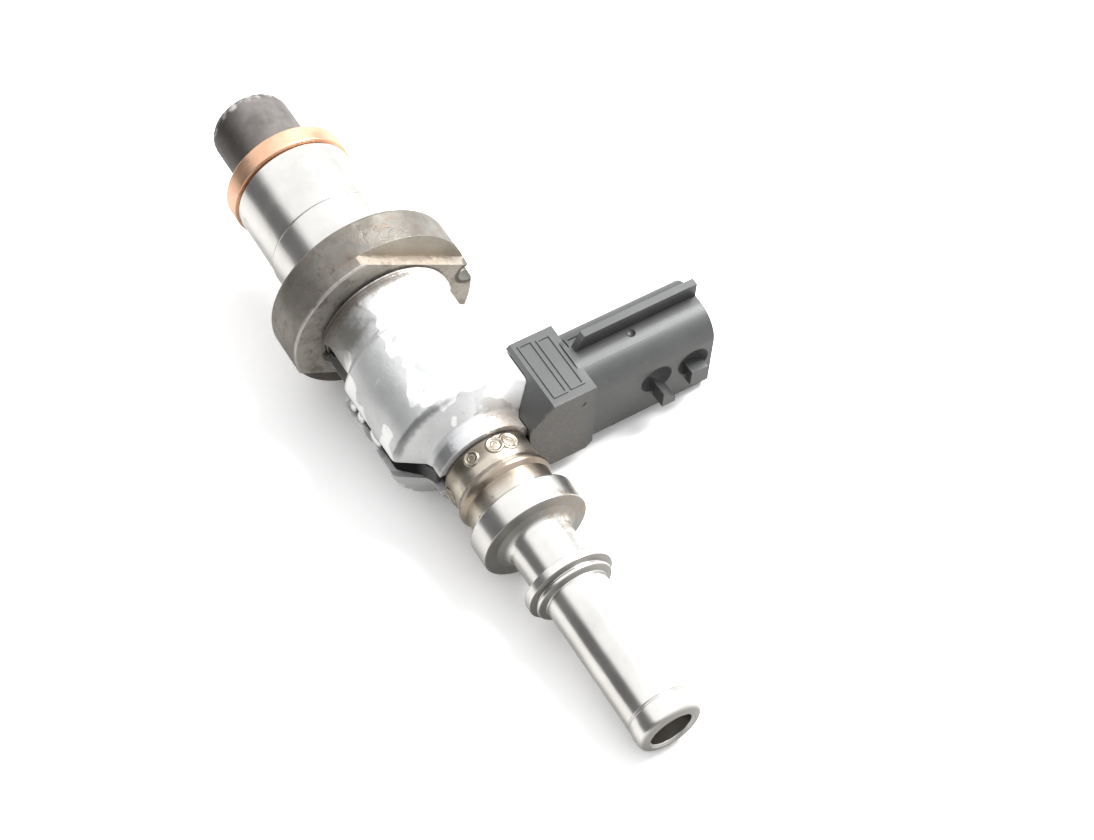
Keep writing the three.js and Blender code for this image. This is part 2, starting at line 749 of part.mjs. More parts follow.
function inletFitting() {
  const start = TINTED_TUBE_END + FACE_GAP;
  const edge = 0.4;
  const fillet = 2.0;
  const groove = 0.2;
  const noseRound = 0.9;
  return turned([
    [start, INLET_BORE],
    [start, INLET_COLLAR_RADIUS, edge],
    [INLET_COLLAR_END, INLET_COLLAR_RADIUS, edge],
    [INLET_COLLAR_END + edge, INLET_TUBE_RADIUS, fillet],
    [BEAD_START, INLET_TUBE_RADIUS],
    [BEAD_START, BEAD_RADIUS],
    [BEAD_START + BEAD_WIDTH, BEAD_RADIUS],
    [SECOND_BEAD_START - groove, SECOND_BEAD_RADIUS - groove],
    [SECOND_BEAD_START, SECOND_BEAD_RADIUS],
    [SECOND_BEAD_END, SECOND_BEAD_RADIUS],
    [SECOND_BEAD_END + groove, INLET_TUBE_RADIUS],
    [NOSE_GROOVE - groove, INLET_TUBE_RADIUS],
    [NOSE_GROOVE, INLET_TUBE_RADIUS - groove],
    [NOSE_GROOVE + groove, NOSE_RADIUS],
    [INLET_END, NOSE_RADIUS, noseRound],
    [INLET_END, INLET_BORE],
  ]);
}

function filterCage() {
  const bore = 1.95;
  const outside = INLET_BORE - CLEARANCE;
  const footLength = 1.0;
  const rimLength = 2.2;
  const rib = 0.2;
  const ribOverlap = 0.4;
  const rim = ring(FILTER_END - rimLength, FILTER_END, bore, outside, SMALL_SIDES);
  const foot = ring(FILTER_START, FILTER_START + footLength, bore, outside, SMALL_SIDES);
  const ribStart = FILTER_START + footLength - ribOverlap;
  const ribEnd = FILTER_END - rimLength + ribOverlap;
  const ribs = onCircle(3, (bore + outside) / 2).map(([y, z]) => (
    pinAlongX(ribStart, ribEnd, rib, y, z, 8)
  ));
  return geometryOf(joined(rim, foot, ...ribs));
}

function filterScreen() {
  const radius = 1.85;
  const bore = 1.6;
  const inset = 0.2;
  const floor = 0.4;
  const start = FILTER_START + inset;
  return turned([
    [start, 0],
    [start, radius],
    [FILTER_END - inset, radius],
    [FILTER_END - inset, bore],
    [start + floor, bore],
    [start + floor, 0],
  ], SMALL_SIDES);
}

// ---- assembly -------------------------------------------------------------------------------
place('nozzle_cap', nozzleCap(), sootySteel());
place('valve_seat', valveSeat(), innerSteel());
place('copper_washer', copperWasher(), copper());
place('nozzle_sleeve', nozzleSleeve(), polishedSteel());
place('needle_guide', needleGuide(), innerSteel());
place('lift_shim', liftShim(), innerSteel());
place('valve_housing', valveHousing(), polishedSteel());
place('clamp_collar', clampCollar(), tarnishedSteel());
place('yoke_upper', yokeShell(1), zincSheet());
place('yoke_lower', yokeShell(-1), zincSheet());
place('connector_body', connectorBody(), darkNylon());
place('terminal_upper', terminal(1), tinnedContact());
place('terminal_lower', terminal(-1), tinnedContact());
place('coil_bobbin', coilBobbin(), paleNylon());
place('coil_winding', coilWinding(), enamelledCopper());
place('valve_tube', valveTube(), innerSteel());
place('fixed_core', fixedCore(), innerSteel());
place('spring_adjuster', springAdjuster(), innerSteel());
place('needle', needle(), innerSteel());
place('armature', armature(), innerSteel());
place('return_spring', returnSpring(), innerSteel());
place('inlet_sleeve', inletSleeve(), heatTintedSteel());
place('retaining_ring', retainingRing(), heatTintedSteel());
place('inlet_fitting', inletFitting(), polishedSteel());
place('filter_cage', filterCage(), paleNylon());
place('filter_screen', filterScreen(), innerSteel());

export default injector;
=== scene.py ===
"""Solenoid fuel injector: fine surfaces, materials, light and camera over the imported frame.

Sizes below are in millimetres. +X runs from the nozzle to the inlet, +Y along the connector, +Z up.
"""
from math import acos, asin, cos, pi, radians, sin, tan
from types import SimpleNamespace

import bmesh
import bpy
from mathutils import Matrix, Vector, noise


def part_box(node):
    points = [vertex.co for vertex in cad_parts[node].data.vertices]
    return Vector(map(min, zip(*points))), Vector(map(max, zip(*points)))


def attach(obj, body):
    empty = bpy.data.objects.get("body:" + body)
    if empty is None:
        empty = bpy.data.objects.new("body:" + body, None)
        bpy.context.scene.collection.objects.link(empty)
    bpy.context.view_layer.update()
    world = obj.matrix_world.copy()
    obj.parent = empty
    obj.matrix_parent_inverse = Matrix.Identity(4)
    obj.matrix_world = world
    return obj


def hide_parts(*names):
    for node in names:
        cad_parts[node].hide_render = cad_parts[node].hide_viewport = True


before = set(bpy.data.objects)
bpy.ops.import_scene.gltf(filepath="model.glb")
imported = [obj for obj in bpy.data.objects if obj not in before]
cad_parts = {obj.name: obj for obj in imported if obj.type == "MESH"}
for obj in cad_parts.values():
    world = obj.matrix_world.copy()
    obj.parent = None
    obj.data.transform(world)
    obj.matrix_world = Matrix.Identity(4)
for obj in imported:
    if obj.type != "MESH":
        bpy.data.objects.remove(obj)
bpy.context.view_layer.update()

MM = 0.001
BODY = "injector_body"
ROUND = 160                 # segments round a large turned piece
EDGE = 0.15                 # usual softening of a turned edge
SPRAY_CIRCLE = 2.2
SPRAY_HOLE = 0.45
SEAM_HALF = 1.55            # half of the gap between the two yoke shells
SHEET = 1.2                 # thickness of the yoke's steel
YOKE_BODY = (45.2, 57.4)    # where the yoke's straight body starts and ends along X
YOKE_LIP = 9.0              # outer radii of the yoke: at its lip, on its front neck, at its rear
YOKE_NECK = 8.5
YOKE_REAR = 6.35
RAIL = (56.3, 57.3)         # the guide rail's two sides, along X
TUBE_BORE = 2.65            # inner radius of the inlet and of the tube behind the yoke
INLET_COLLAR_END = 73.55    # where the inlet's wide collar ends along X
WELD_PLACE = 63.4           # where the weld marks lie along X
TAB_PLACE = (-9.35, -0.35)  # the seam tabs' middle and half size, along Y and Z
TAB_HALF = (0.45, 0.95)
FLAT_DISTANCE = 9.1         # the collar's two milled flats, from the injector's axis
FLAT_ANGLE = radians(32)    # the upper flat, from +Z towards +Y
SHOULDER_DEPTH = 1.6        # how far the flats are milled back into the collar
NOTCH = (11.9, 1.9)         # the small hollow in the collar's face, along Y and Z
WELD_GROUP = (-30, 2.5, 22)  # degrees round the tube, from +Z towards +Y


class Span:
    """Where a CAD node starts and ends along X, and its outer radius, in millimetres."""

    def __init__(self, node):
        low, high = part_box(node)
        self.low = [value / MM for value in low]
        self.high = [value / MM for value in high]
        self.start = self.low[0]
        self.end = self.high[0]
        self.radius = self.high[2]


# ---- mesh helpers ----

def softened(corners, closed, steps=6):
    """Turns (x, radius, rounding) corners into points, with an arc at each rounded corner."""
    points = []
    count = len(corners)
    for index, corner in enumerate(corners):
        here = Vector(corner[:2])
        rounding = corner[2] if len(corner) > 2 else 0
        at_end = not closed and index in (0, count - 1)
        if rounding == 0 or at_end:
            points.append(here)
            continue
        back = Vector(corners[index - 1][:2]) - here
        ahead = Vector(corners[(index + 1) % count][:2]) - here
        half = acos(max(-1, min(1, back.normalized().dot(ahead.normalized())))) / 2
        reach = min(rounding / tan(half), 0.49 * back.length, 0.49 * ahead.length)
        radius = reach * tan(half)
        middle = (back.normalized() + ahead.normalized()).normalized()
        centre = here + middle * (radius / sin(half))
        first = here + back.normalized() * reach - centre
        last = here + ahead.normalized() * reach - centre
        sweep = first.angle(last)
        for step in range(steps + 1):
            share = step / steps
            spoke = (first * sin((1 - share) * sweep) + last * sin(share * sweep)) / sin(sweep)
            points.append(centre + spoke)
    return points


def add_object(name, data):
    item = bpy.data.objects.new(name, data)
    bpy.context.scene.collection.objects.link(item)
    return item


def make_piece(name, vertices, faces):
    mesh = bpy.data.meshes.new(name)
    mesh.from_pydata([Vector(vertex) * MM for vertex in vertices], [], faces)
    work = bmesh.new()
    work.from_mesh(mesh)
    bmesh.ops.remove_doubles(work, verts=work.verts, dist=1e-7)
    bmesh.ops.recalc_face_normals(work, faces=work.faces)
    work.to_mesh(mesh)
    work.free()
    return add_object(name, mesh)


def grid_faces(rows, width, last_row_meets_first, last_column_meets_first):
    """Four-sided faces between the neighbouring points of a grid that is stored row by row."""
    faces = []
    for row in range(rows if last_row_meets_first else rows - 1):
        following = (row + 1) % rows
        for index in range(width if last_column_meets_first else width - 1):
            after = (index + 1) % width
            faces.append((row * width + index, row * width + after,
                          following * width + after, following * width + index))
    return faces


def turned(name, corners, segments=ROUND, dent=0.0):
    """Turns corners round the X axis. dent is the height of soft waves pressed into the surface."""
    on_axis = corners[0][1] == 0
    outline = softened(corners, closed=not on_axis)
    vertices = []
    for x, radius in outline:
        for index in range(segments):
            angle = 2 * pi * index / segments
            place = Vector((x, radius * cos(angle), radius * sin(angle)))
            if dent and radius > 0:
                place.yz = place.yz * (1 + dent * noise.noise(place * 0.33) / radius)
            vertices.append(place)
    return make_piece(name, vertices, grid_faces(len(outline), segments, not on_axis, True))


def prism(name, outline, axis, low, high):
    """A flat outline made thick along "x", "y" or "z". Points are (y, z), (x, z) or (x, y)."""
    order = {"x": (2, 0, 1), "y": (0, 2, 1), "z": (0, 1, 2)}[axis]
    vertices = []
    for depth in (low, high):
        for first, second in outline:
            raw = (first, second, depth)
            vertices.append(tuple(raw[place] for place in order))
    count = len(outline)
    faces = [tuple(range(count)), tuple(range(count, 2 * count))]
    for index in range(count):
        after = (index + 1) % count
        faces.append((index, after, count + after, count + index))
    return make_piece(name, vertices, faces)


def box(name, xs, ys, zs):
    corners = [(xs[0], ys[0]), (xs[1], ys[0]), (xs[1], ys[1]), (xs[0], ys[1])]
    return prism(name, corners, "z", *zs)


def disc_cutter(name, centre, axis, radius, depth, sides=40):
    """A round punch of the given depth on each side of its centre."""
    ring = []
    for index in range(sides):
        angle = 2 * pi * index / sides
        ring.append((radius * cos(angle), radius * sin(angle)))
    along = "xyz".index(axis)
    first, second = [index for index in range(3) if index != along]
    outline = [(centre[first] + u, centre[second] + v) for u, v in ring]
    return prism(name, outline, axis, centre[along] - depth, centre[along] + depth)


def ball(name, centre, radius, rings=24):
    corners = []
    for index in range(rings + 1):
        angle = pi * index / rings
        corners.append((-radius * cos(angle), max(0.0, radius * sin(angle))))
    corners[0] = (-radius, 0)
    corners[-1] = (radius, 0)
    piece = turned(name, corners, segments=48)
    piece.data.transform(Matrix.Translation(Vector(centre) * MM))
    return piece


def settle(piece):
    """Applies the piece's modifiers to its mesh."""
    bpy.context.view_layer.update()
    seen = piece.evaluated_get(bpy.context.evaluated_depsgraph_get())
    mesh = bpy.data.meshes.new_from_object(seen)
    piece.modifiers.clear()
    piece.data = mesh
    mesh.name = piece.name


def combine(piece, others, operation):
    """Joins others to the piece, or cuts them out of it."""
    for other in others:
        step = piece.modifiers.new("combine", "BOOLEAN")
        step.operation = operation
        step.solver = "EXACT"
        step.object = other
        settle(piece)
        bpy.data.objects.remove(other)
    return piece


def cut(piece, *cutters):
    return combine(piece, cutters, "DIFFERENCE")


def join(piece, *others):
    return combine(piece, others, "UNION")


def soften_edges(piece, width, segments=3, angle=35):
    step = piece.modifiers.new("soften", "BEVEL")
    step.width = width * MM
    step.segments = segments
    step.limit_method = "ANGLE"
    step.angle_limit = radians(angle)
    step.use_clamp_overlap = True
    settle(piece)
    return piece


def show(piece, material, slot, *nodes, body=BODY, sharp=32):
    """Gives a finished piece its material and body, and hides the CAD nodes it stands for."""
    piece.data.materials.clear()
    piece.data.materials.append(material)
    piece.data.shade_smooth()
    piece.data.set_sharp_from_angle(angle=radians(sharp))
    even = piece.modifiers.new("even", "WEIGHTED_NORMAL")
    even.keep_sharp = True
    settle(piece)
    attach(piece, body)
    if nodes:
        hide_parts(*nodes)
    return piece


# ---- material helpers ----

def as_color(value):
    if isinstance(value, (int, float)):
        value = (value, value, value)
    return (*value[:3], 1.0)


def plug(socket, value):
    """Links another node's socket to this one, or sets this one's own value."""
    if isinstance(value, bpy.types.NodeSocket):
        socket.id_data.links.new(value, socket)
    elif socket.type == "RGBA":
        socket.default_value = as_color(value)
    else:
        socket.default_value = value


def add_node(tree, kind, inputs=None, **settings):
    node = tree.nodes.new(kind)
    for name, value in settings.items():
        setattr(node, name, value)
    for key, value in (inputs or {}).items():
        plug(node.inputs[key], value)
    return node


class Paint:
    """Builds one procedural material. Lengths inside it are in millimetres."""

    def __init__(self, name, metallic=0.0):
        self.material = bpy.data.materials.new(name)
        self.material.use_nodes = True
        self.tree = self.material.node_tree
        self.surface = self.tree.nodes["Principled BSDF"]
        self.surface.inputs["Metallic"].default_value = metallic
        coordinates = self.tree.nodes.new("ShaderNodeTexCoord").outputs["Object"]
        self.place = self.vector("SCALE", coordinates, scale=1 / MM)
        split = self.node("ShaderNodeSeparateXYZ", {"Vector": self.place})
        self.x, self.y, self.z = split.outputs
        across = self.node("ShaderNodeCombineXYZ", {"Y": self.y, "Z": self.z}).outputs[0]
        self.radius = self.node("ShaderNodeVectorMath", {0: across}, operation="LENGTH").outputs["Value"]
        self.angle = self.math("ARCTAN2", self.y, self.z)

    def node(self, kind, inputs=None, **settings):
        return add_node(self.tree, kind, inputs, **settings)

    def math(self, operation, first, second=0.0):
        return self.node("ShaderNodeMath", {0: first, 1: second}, operation=operation).outputs[0]

    def vector(self, operation, first, second=None, scale=None):
        inputs = {0: first}
        if second is not None:
            inputs[1] = second
        if scale is not None:
            inputs["Scale"] = scale
        return self.node("ShaderNodeVectorMath", inputs, operation=operation).outputs["Vector"]

    def noise(self, size, detail=3.0, roughness=0.55, seed=0.0, stretch=(1, 1, 1), place=None):
        """Soft noise whose features are about size across, drawn out along stretch."""
        source = self.place if place is None else place
        squeezed = self.vector("MULTIPLY", source, tuple(1 / (size * part) for part in stretch))
        inputs = {"Vector": squeezed, "W": seed, "Scale": 1.0, "Detail": detail, "Roughness": roughness}
        return self.node("ShaderNodeTexNoise", inputs, noise_dimensions="4D").outputs["Fac"]

    def turning_marks(self, pitch):
        """Fine rings left by a lathe tool, broken up a little round the piece."""
        around = {"X": self.x, "Y": self.radius, "Z": self.angle}
        unrolled = self.node("ShaderNodeCombineXYZ", around).outputs[0]
        return self.noise(1.0, detail=2.0, stretch=(pitch, pitch, 0.8), place=unrolled)

    def step(self, value, low, high, start=0.0, end=1.0):
        """Rises smoothly from start to end as value goes from low to high."""
        inputs = {"Value": value, "From Min": low, "From Max": high, "To Min": start, "To Max": end}
        return self.node("ShaderNodeMapRange", inputs, interpolation_type="SMOOTHSTEP").outputs["Result"]

    def band(self, value, low, high, soft):
        """One between low and high, falling to zero over soft on either side."""
        rise = self.step(value, low - soft, low)
        fall = self.step(value, high, high + soft, 1.0, 0.0)
        return self.math("MULTIPLY", rise, fall)

    def times(self, *values):
        product = values[0]
        for value in values[1:]:
            product = self.math("MULTIPLY", product, value)
        return product

    def plus(self, *values):
        total = values[0]
        for value in values[1:]:
            total = self.math("ADD", total, value)
        return total

    def mix(self, share, first, second):
        inputs = {0: share, 6: first, 7: second}
        return self.node("ShaderNodeMix", inputs, data_type="RGBA").outputs[2]

    def ramp(self, value, *stops):
        node = self.node("ShaderNodeValToRGB", {"Fac": value})
        stripes = node.color_ramp.elements
        while len(stripes) < len(stops):
            stripes.new(0.5)
        for stripe, (position, color) in zip(stripes, stops):
            stripe.position = position
            stripe.color = as_color(color)
        return node.outputs["Color"]

    def finish(self, color, roughness, height, strength, depth=0.05, fine=None):
        """Plugs in colour, roughness and bump; fine is a second, shallower bump."""
        normal = self.node("ShaderNodeBump", {"Height": height, "Strength": strength, "Distance": depth * MM})
        if fine is not None:
            inputs = {"Height": fine, "Strength": strength, "Distance": 0.2 * depth * MM}
            inputs["Normal"] = normal.outputs["Normal"]
            normal = self.node("ShaderNodeBump", inputs)
        plug(self.surface.inputs["Base Color"], color)
        plug(self.surface.inputs["Roughness"], roughness)
        plug(self.surface.inputs["Normal"], normal.outputs["Normal"])
        return self.material


# ---- materials ----

def sooty_steel(cap):
    paint = Paint("sooty_steel", metallic=0.75)
    blotch = paint.noise(3.2, detail=5)
    film = paint.noise(0.5, detail=3, seed=2)
    soot = paint.ramp(blotch,
                      (0.3, (0.11, 0.1, 0.095)),
                      (0.55, (0.19, 0.177, 0.17)),
                      (0.75, (0.26, 0.242, 0.232)))
    rubbed = paint.times(
        paint.band(paint.x, cap.start - 0.5, cap.start + 1.6, 0.6),
        paint.step(paint.radius, cap.radius - 2.1, cap.radius - 1.2),
        paint.step(paint.noise(1.1, detail=5, seed=5), 0.46, 0.66, 0.0, 0.9),
    )
    shaded_side = paint.step(paint.angle, -1.2, 0.1, 0.75, 0.0)
    darker = paint.mix(shaded_side, soot, (0.05, 0.043, 0.038))
    color = paint.mix(rubbed, darker, (0.6, 0.58, 0.56))
    roughness = paint.plus(paint.times(film, 0.25), 0.36)
    height = paint.plus(paint.times(film, 0.6), paint.times(blotch, 0.8))
    return paint.finish(color, roughness, height, 0.5, 0.08, paint.turning_marks(0.12))


def copper():
    paint = Paint("copper", metallic=1.0)
    cloud = paint.noise(2.5, detail=4)
    bright = paint.ramp(cloud, (0.3, (0.74, 0.43, 0.28)), (0.6, (0.86, 0.56, 0.39)), (0.8, (0.7, 0.4, 0.26)))
    tarnish = paint.step(paint.noise(1.2, detail=5, seed=3), 0.6, 0.75)
    color = paint.mix(paint.times(tarnish, 0.3), bright, (0.34, 0.18, 0.12))
    roughness = paint.plus(paint.times(cloud, 0.2), 0.25)
    return paint.finish(color, roughness, cloud, 0.25, 0.06, paint.turning_marks(0.1))


def polished_steel():
    paint = Paint("polished_steel", metallic=1.0)
    cloud = paint.noise(5.0, detail=4)
    smear = paint.noise(1.4, detail=5, seed=4, stretch=(2.2, 1, 1))
    base = paint.ramp(cloud, (0.3, (0.66, 0.645, 0.625)), (0.7, (0.78, 0.77, 0.75)))
    stain = paint.step(smear, 0.62, 0.78, 0.0, 0.5)
    stained = paint.mix(stain, base, (0.42, 0.36, 0.3))
    # faces turned toward the inlet are left rougher as the tool cut them, and their colour is darkened as
    # painted shade
    facing = paint.node("ShaderNodeNewGeometry").outputs["True Normal"]
    along = paint.node("ShaderNodeSeparateXYZ", {"Vector": facing}).outputs["X"]
    rough_and_shaded_face = paint.step(along, 0.3, 0.95)
    plain = paint.mix(paint.times(rough_and_shaded_face, 0.9), stained, (0.22, 0.214, 0.2))
    # fuel has left a brown stain where the inlet's collar meets its neck
    scum = paint.times(
        paint.band(paint.x, INLET_COLLAR_END - 0.55, INLET_COLLAR_END + 2.05, 0.8),
        paint.band(paint.angle, 0.35, 1.5, 0.3),
        paint.step(paint.noise(1.0, detail=5, seed=23), 0.4, 0.6),
    )
    color = paint.mix(paint.times(scum, 0.6), plain, (0.3, 0.22, 0.15))
    roughness = paint.plus(
        paint.times(cloud, 0.12),
        paint.times(stain, 0.3),
        paint.times(rough_and_shaded_face, 0.25),
        0.17,
    )
    waves = paint.noise(3.0, detail=3, seed=8, stretch=(2.5, 1, 1))
    return paint.finish(color, roughness, waves, 0.25, 0.14, paint.turning_marks(0.07))


def tarnished_steel(collar):
    paint = Paint("tarnished_steel", metallic=0.85)
    blotch = paint.noise(3.5, detail=5)
    grain = paint.noise(0.35, detail=4, seed=3)
    speck = paint.noise(1.1, detail=6, roughness=0.7, seed=9)
    base = paint.ramp(blotch,
                      (0.32, (0.15, 0.138, 0.12)),
                      (0.52, (0.22, 0.206, 0.184)),
                      (0.7, (0.29, 0.272, 0.245)))
    pits = paint.step(speck, 0.54, 0.72)
    rust = paint.step(paint.noise(1.8, detail=6, seed=13), 0.52, 0.7)
    darkened = paint.mix(paint.times(pits, 0.6), base, (0.09, 0.078, 0.066))
    rusted = paint.mix(paint.times(rust, 0.4), darkened, (0.2, 0.13, 0.08))
    # painted light: the shoulder wall and the face in front of it are paler on the plug's side, where the
    # light falls
    back = paint.step(paint.x, collar.end - SHOULDER_DEPTH - 0.08, collar.end - SHOULDER_DEPTH - 0.02)
    toward_plug = paint.step(paint.angle, -0.6, 0.35)
    lit_shoulder_face = paint.mix(paint.times(back, toward_plug, 0.6), rusted, (0.4, 0.365, 0.31))
    # the face toward the inlet gets painted light on its low side, away from the plug, so it is darkest
    # beside the yoke's bright side; it is also stained brown in mottled patches
    in_face = paint.step(paint.x, collar.end - 0.15, collar.end - 0.05)
    lit_low = paint.times(in_face, paint.step(paint.angle, -1.4, 0.0, 0.9, 0.1))
    pale = paint.mix(lit_low, lit_shoulder_face, (0.6, 0.57, 0.52))
    smudge = paint.step(paint.noise(1.6, detail=7, roughness=0.65, seed=41), 0.46, 0.66)
    shaded = paint.mix(paint.times(in_face, smudge, 0.55), pale, (0.13, 0.1, 0.075))
    # the upper milled flat keeps a warm straw colour
    height = paint.plus(paint.times(paint.y, sin(FLAT_ANGLE)), paint.times(paint.z, cos(FLAT_ANGLE)))
    milled = paint.times(
        paint.band(height, FLAT_DISTANCE - 0.25, FLAT_DISTANCE + 0.15, 0.1),
        paint.step(paint.x, collar.end - SHOULDER_DEPTH - 0.1, collar.end - SHOULDER_DEPTH + 0.1),
        paint.step(paint.x, collar.end - 0.1, collar.end, 1.0, 0.0),
    )
    pitted = paint.step(paint.noise(1.0, detail=4, seed=31), 0.52, 0.62, 1.0, 0.4)
    along_flat = paint.plus(paint.times(paint.y, cos(FLAT_ANGLE)), paint.times(paint.z, -sin(FLAT_ANGLE)))
    clean_end = paint.step(paint.plus(along_flat, paint.times(smudge, 1.5)), 4.0, 6.5, 0.9, 0.3)
    straw = paint.mix(paint.times(milled, pitted, clean_end), shaded, (0.6, 0.52, 0.43))
    # painted shade: the small hollow in the face is darkened; it is also made rougher and less metallic
    middle = (collar.end, *NOTCH)
    span = paint.node("ShaderNodeVectorMath", {0: paint.place, 1: middle}, operation="DISTANCE")
    away = span.outputs["Value"]
    rim_low = 1.8
    rim_high = 2.1
    hollow = paint.step(away, rim_low, rim_high, 1.0, 0.0)
    straw = paint.mix(paint.times(hollow, 0.8), straw, (0.09, 0.085, 0.078))
    # painted highlight: a thin pale line along the outer edge of the face, broken up by noise
    rim = paint.times(
        paint.band(paint.x, collar.end - 0.3, collar.end - 0.02, 0.1),
        paint.step(paint.radius, collar.radius - 0.4, collar.radius - 0.15),
        paint.step(paint.noise(1.5, seed=21), 0.35, 0.5),
    )
    color = paint.mix(paint.times(rim, 0.7, paint.math("SUBTRACT", 1.0, hollow)), straw, (0.5, 0.48, 0.45))
    roughness = paint.plus(paint.times(grain, 0.2), paint.times(pits, 0.15), paint.times(hollow, 0.6), 0.34)
    plug(paint.surface.inputs["Metallic"], paint.times(paint.step(away, rim_low, rim_high, 0.3, 1.0), 0.85))
    relief = paint.plus(paint.times(grain, 0.5), paint.times(pits, -0.6), blotch)
    return paint.finish(color, roughness, relief, 0.5, 0.1, paint.noise(0.15, detail=2, seed=6))


def zinc_sheet(yoke):
    """Bright plated sheet, with painted light and shade: white on the side toward the plug and in lobes, grey
    and blotchy on the side away from the plug.
    """
    paint = Paint("zinc_sheet", metallic=0.5)
    cloud = paint.noise(4.0, detail=3)
    lobes = paint.noise(3.4, detail=1.5, roughness=0.4, seed=6)
    # painted light and shade: grey on the side away from the plug and on the cone, white toward the plug and
    # in lobes low on the far side
    shade_away_from_plug = paint.step(paint.angle, -0.75, -0.2, 0.3, 0.0)
    far_side = paint.step(paint.angle, -1.45, -1.0, -0.2, 0.0)
    body_start, body_end = YOKE_BODY
    cone = paint.step(paint.x, body_end - 1.0, body_end + 1.2, 0.0, 0.17)
    plug_side = paint.step(paint.angle, 0.1, 0.7, 0.0, -0.2)
    shade_and_dull = paint.step(paint.plus(lobes, shade_away_from_plug, far_side, cone, plug_side), 0.62, 0.65)
    bright = paint.ramp(cloud, (0.3, (0.86, 0.865, 0.87)), (0.7, (0.93, 0.93, 0.925)))
    grey = paint.ramp(cloud, (0.3, (0.52, 0.525, 0.53)), (0.7, (0.64, 0.645, 0.65)))
    color = paint.mix(shade_and_dull, bright, grey)
    ends = paint.math("MAXIMUM",
                      paint.step(paint.x, yoke.start + 0.2, yoke.start + 3.0, 1.0, 0.0),
                      paint.times(paint.step(paint.x, yoke.end - 3.5, yoke.end - 0.2, 0.0, 0.8),
                                  paint.step(paint.angle, -0.2, 0.4)))
    scale = paint.noise(0.8, detail=6, seed=11)

    def ragged(value, amount):
        return paint.plus(value, paint.times(scale, amount))

    grime = paint.step(paint.plus(scale, paint.times(ends, 0.22)), 0.62, 0.78)
    color = paint.mix(paint.times(grime, 0.7), color, (0.27, 0.23, 0.19))
    # painted shade: the front neck is darker on the side away from the plug
    neck = paint.step(ragged(paint.x, 1.5), body_start - 2.7, body_start - 0.4, 1.0, 0.0)
    away_from_plug = paint.step(ragged(paint.angle, 0.8), -0.5, 0.25, 0.8, 0.0)
    color = paint.mix(paint.times(neck, away_from_plug), color, (0.15, 0.145, 0.13))
    # painted shade: the cone is darkened brown on the connector's side, with ragged edges
    corner = paint.times(
        paint.step(paint.x, body_end + 0.4, body_end + 2.6),
        paint.band(ragged(paint.angle, 0.7), 0.62, 1.9, 0.3),
    )
    color = paint.mix(paint.times(corner, 0.75), color, (0.16, 0.125, 0.095))
    # the lip against the collar is brown with rust, and rubbed bright along its edge
    lip = paint.times(
        paint.step(ragged(paint.x, 0.8), yoke.start + 1.1, yoke.start + 2.0, 0.85, 0.0),
        paint.band(paint.angle, -1.4, 0.15, 0.4),
        paint.step(paint.x, yoke.start + 0.12, yoke.start + 0.3, 0.1, 1.0),
    )
    color = paint.mix(lip, color, (0.1, 0.082, 0.065))
    # the crease where the body turns into the cone lies in shade, and so does the lip's foot
    crease = paint.times(
        paint.band(ragged(paint.x, 0.4), body_end, body_end + 0.4, 0.4),
        paint.step(ragged(paint.angle, 0.5), -0.35, 0.25, 0.75, 0.0),
        paint.step(paint.angle, -1.45, -1.2),
    )
    foot = paint.times(
        paint.band(paint.x, body_end + 3.0, body_end + 4.2, 0.5),
        paint.band(ragged(paint.angle, 0.3), -1.0, -0.6, 0.15),
        0.7,
    )
    color = paint.mix(paint.math("MAXIMUM", crease, foot), color, (0.14, 0.142, 0.145))
    # painted shade: the sheet's inside near the rear, within 5.6 mm of the axis, is darkened
    inner = paint.step(paint.radius, 4.9, 5.6, 0.8, 0.0)
    color = paint.mix(inner, color, (0.2, 0.19, 0.18))
    roughness = paint.plus(paint.times(shade_and_dull, 0.06), paint.times(grime, 0.25), 0.3)
    waves = paint.plus(lobes, paint.times(paint.noise(1.3, detail=2, seed=17), 0.25))
    return paint.finish(color, roughness, waves, 0.5, 0.25, paint.noise(0.25, detail=3, seed=19))


def heat_tinted_steel():
    paint = Paint("heat_tinted_steel", metallic=1.0)
    drift = paint.times(paint.plus(paint.noise(2.0, detail=4), -0.5), 1.6)
    first = 61.5
    last = 69.5
    along = paint.times(paint.plus(paint.x, drift, -first), 1 / (last - first))
    tint = paint.ramp(along,
                      (0.0, (0.24, 0.215, 0.18)),
                      (0.24, (0.3, 0.26, 0.21)),
                      (0.38, (0.56, 0.51, 0.44)),
                      (0.56, (0.55, 0.5, 0.43)),
                      (0.66, (0.36, 0.3, 0.24)),
                      (0.78, (0.3, 0.25, 0.2)),
                      (0.9, (0.5, 0.45, 0.38)),
                      (1.0, (0.62, 0.58, 0.52)))
    hot_side = paint.times(paint.step(paint.angle, 0.2, 0.45), paint.step(paint.x, 65.0, 65.8))
    tint = paint.mix(paint.times(hot_side, 0.65), tint, (0.2, 0.16, 0.125))
    # burnt haloes round the weld marks
    turn = 2 * pi / 3
    beside = paint.math("PINGPONG", paint.plus(paint.angle, -radians(WELD_GROUP[0])), turn / 2)
    halo = paint.times(paint.step(beside, 0.08, 0.42, 0.6, 0.0),
                       paint.band(paint.x, WELD_PLACE - 0.6, WELD_PLACE + 0.7, 0.7))
    haloed = paint.mix(halo, tint, (0.13, 0.105, 0.08))
    scorch = paint.step(paint.noise(0.9, detail=5, seed=4), 0.58, 0.72)
    color = paint.mix(paint.times(scorch, 0.6), haloed, (0.12, 0.085, 0.06))
    roughness = paint.plus(paint.times(scorch, 0.2), 0.3)
    waves = paint.noise(1.1, detail=3, seed=2)
    return paint.finish(color, roughness, waves, 0.35, 0.1, paint.turning_marks(0.1))


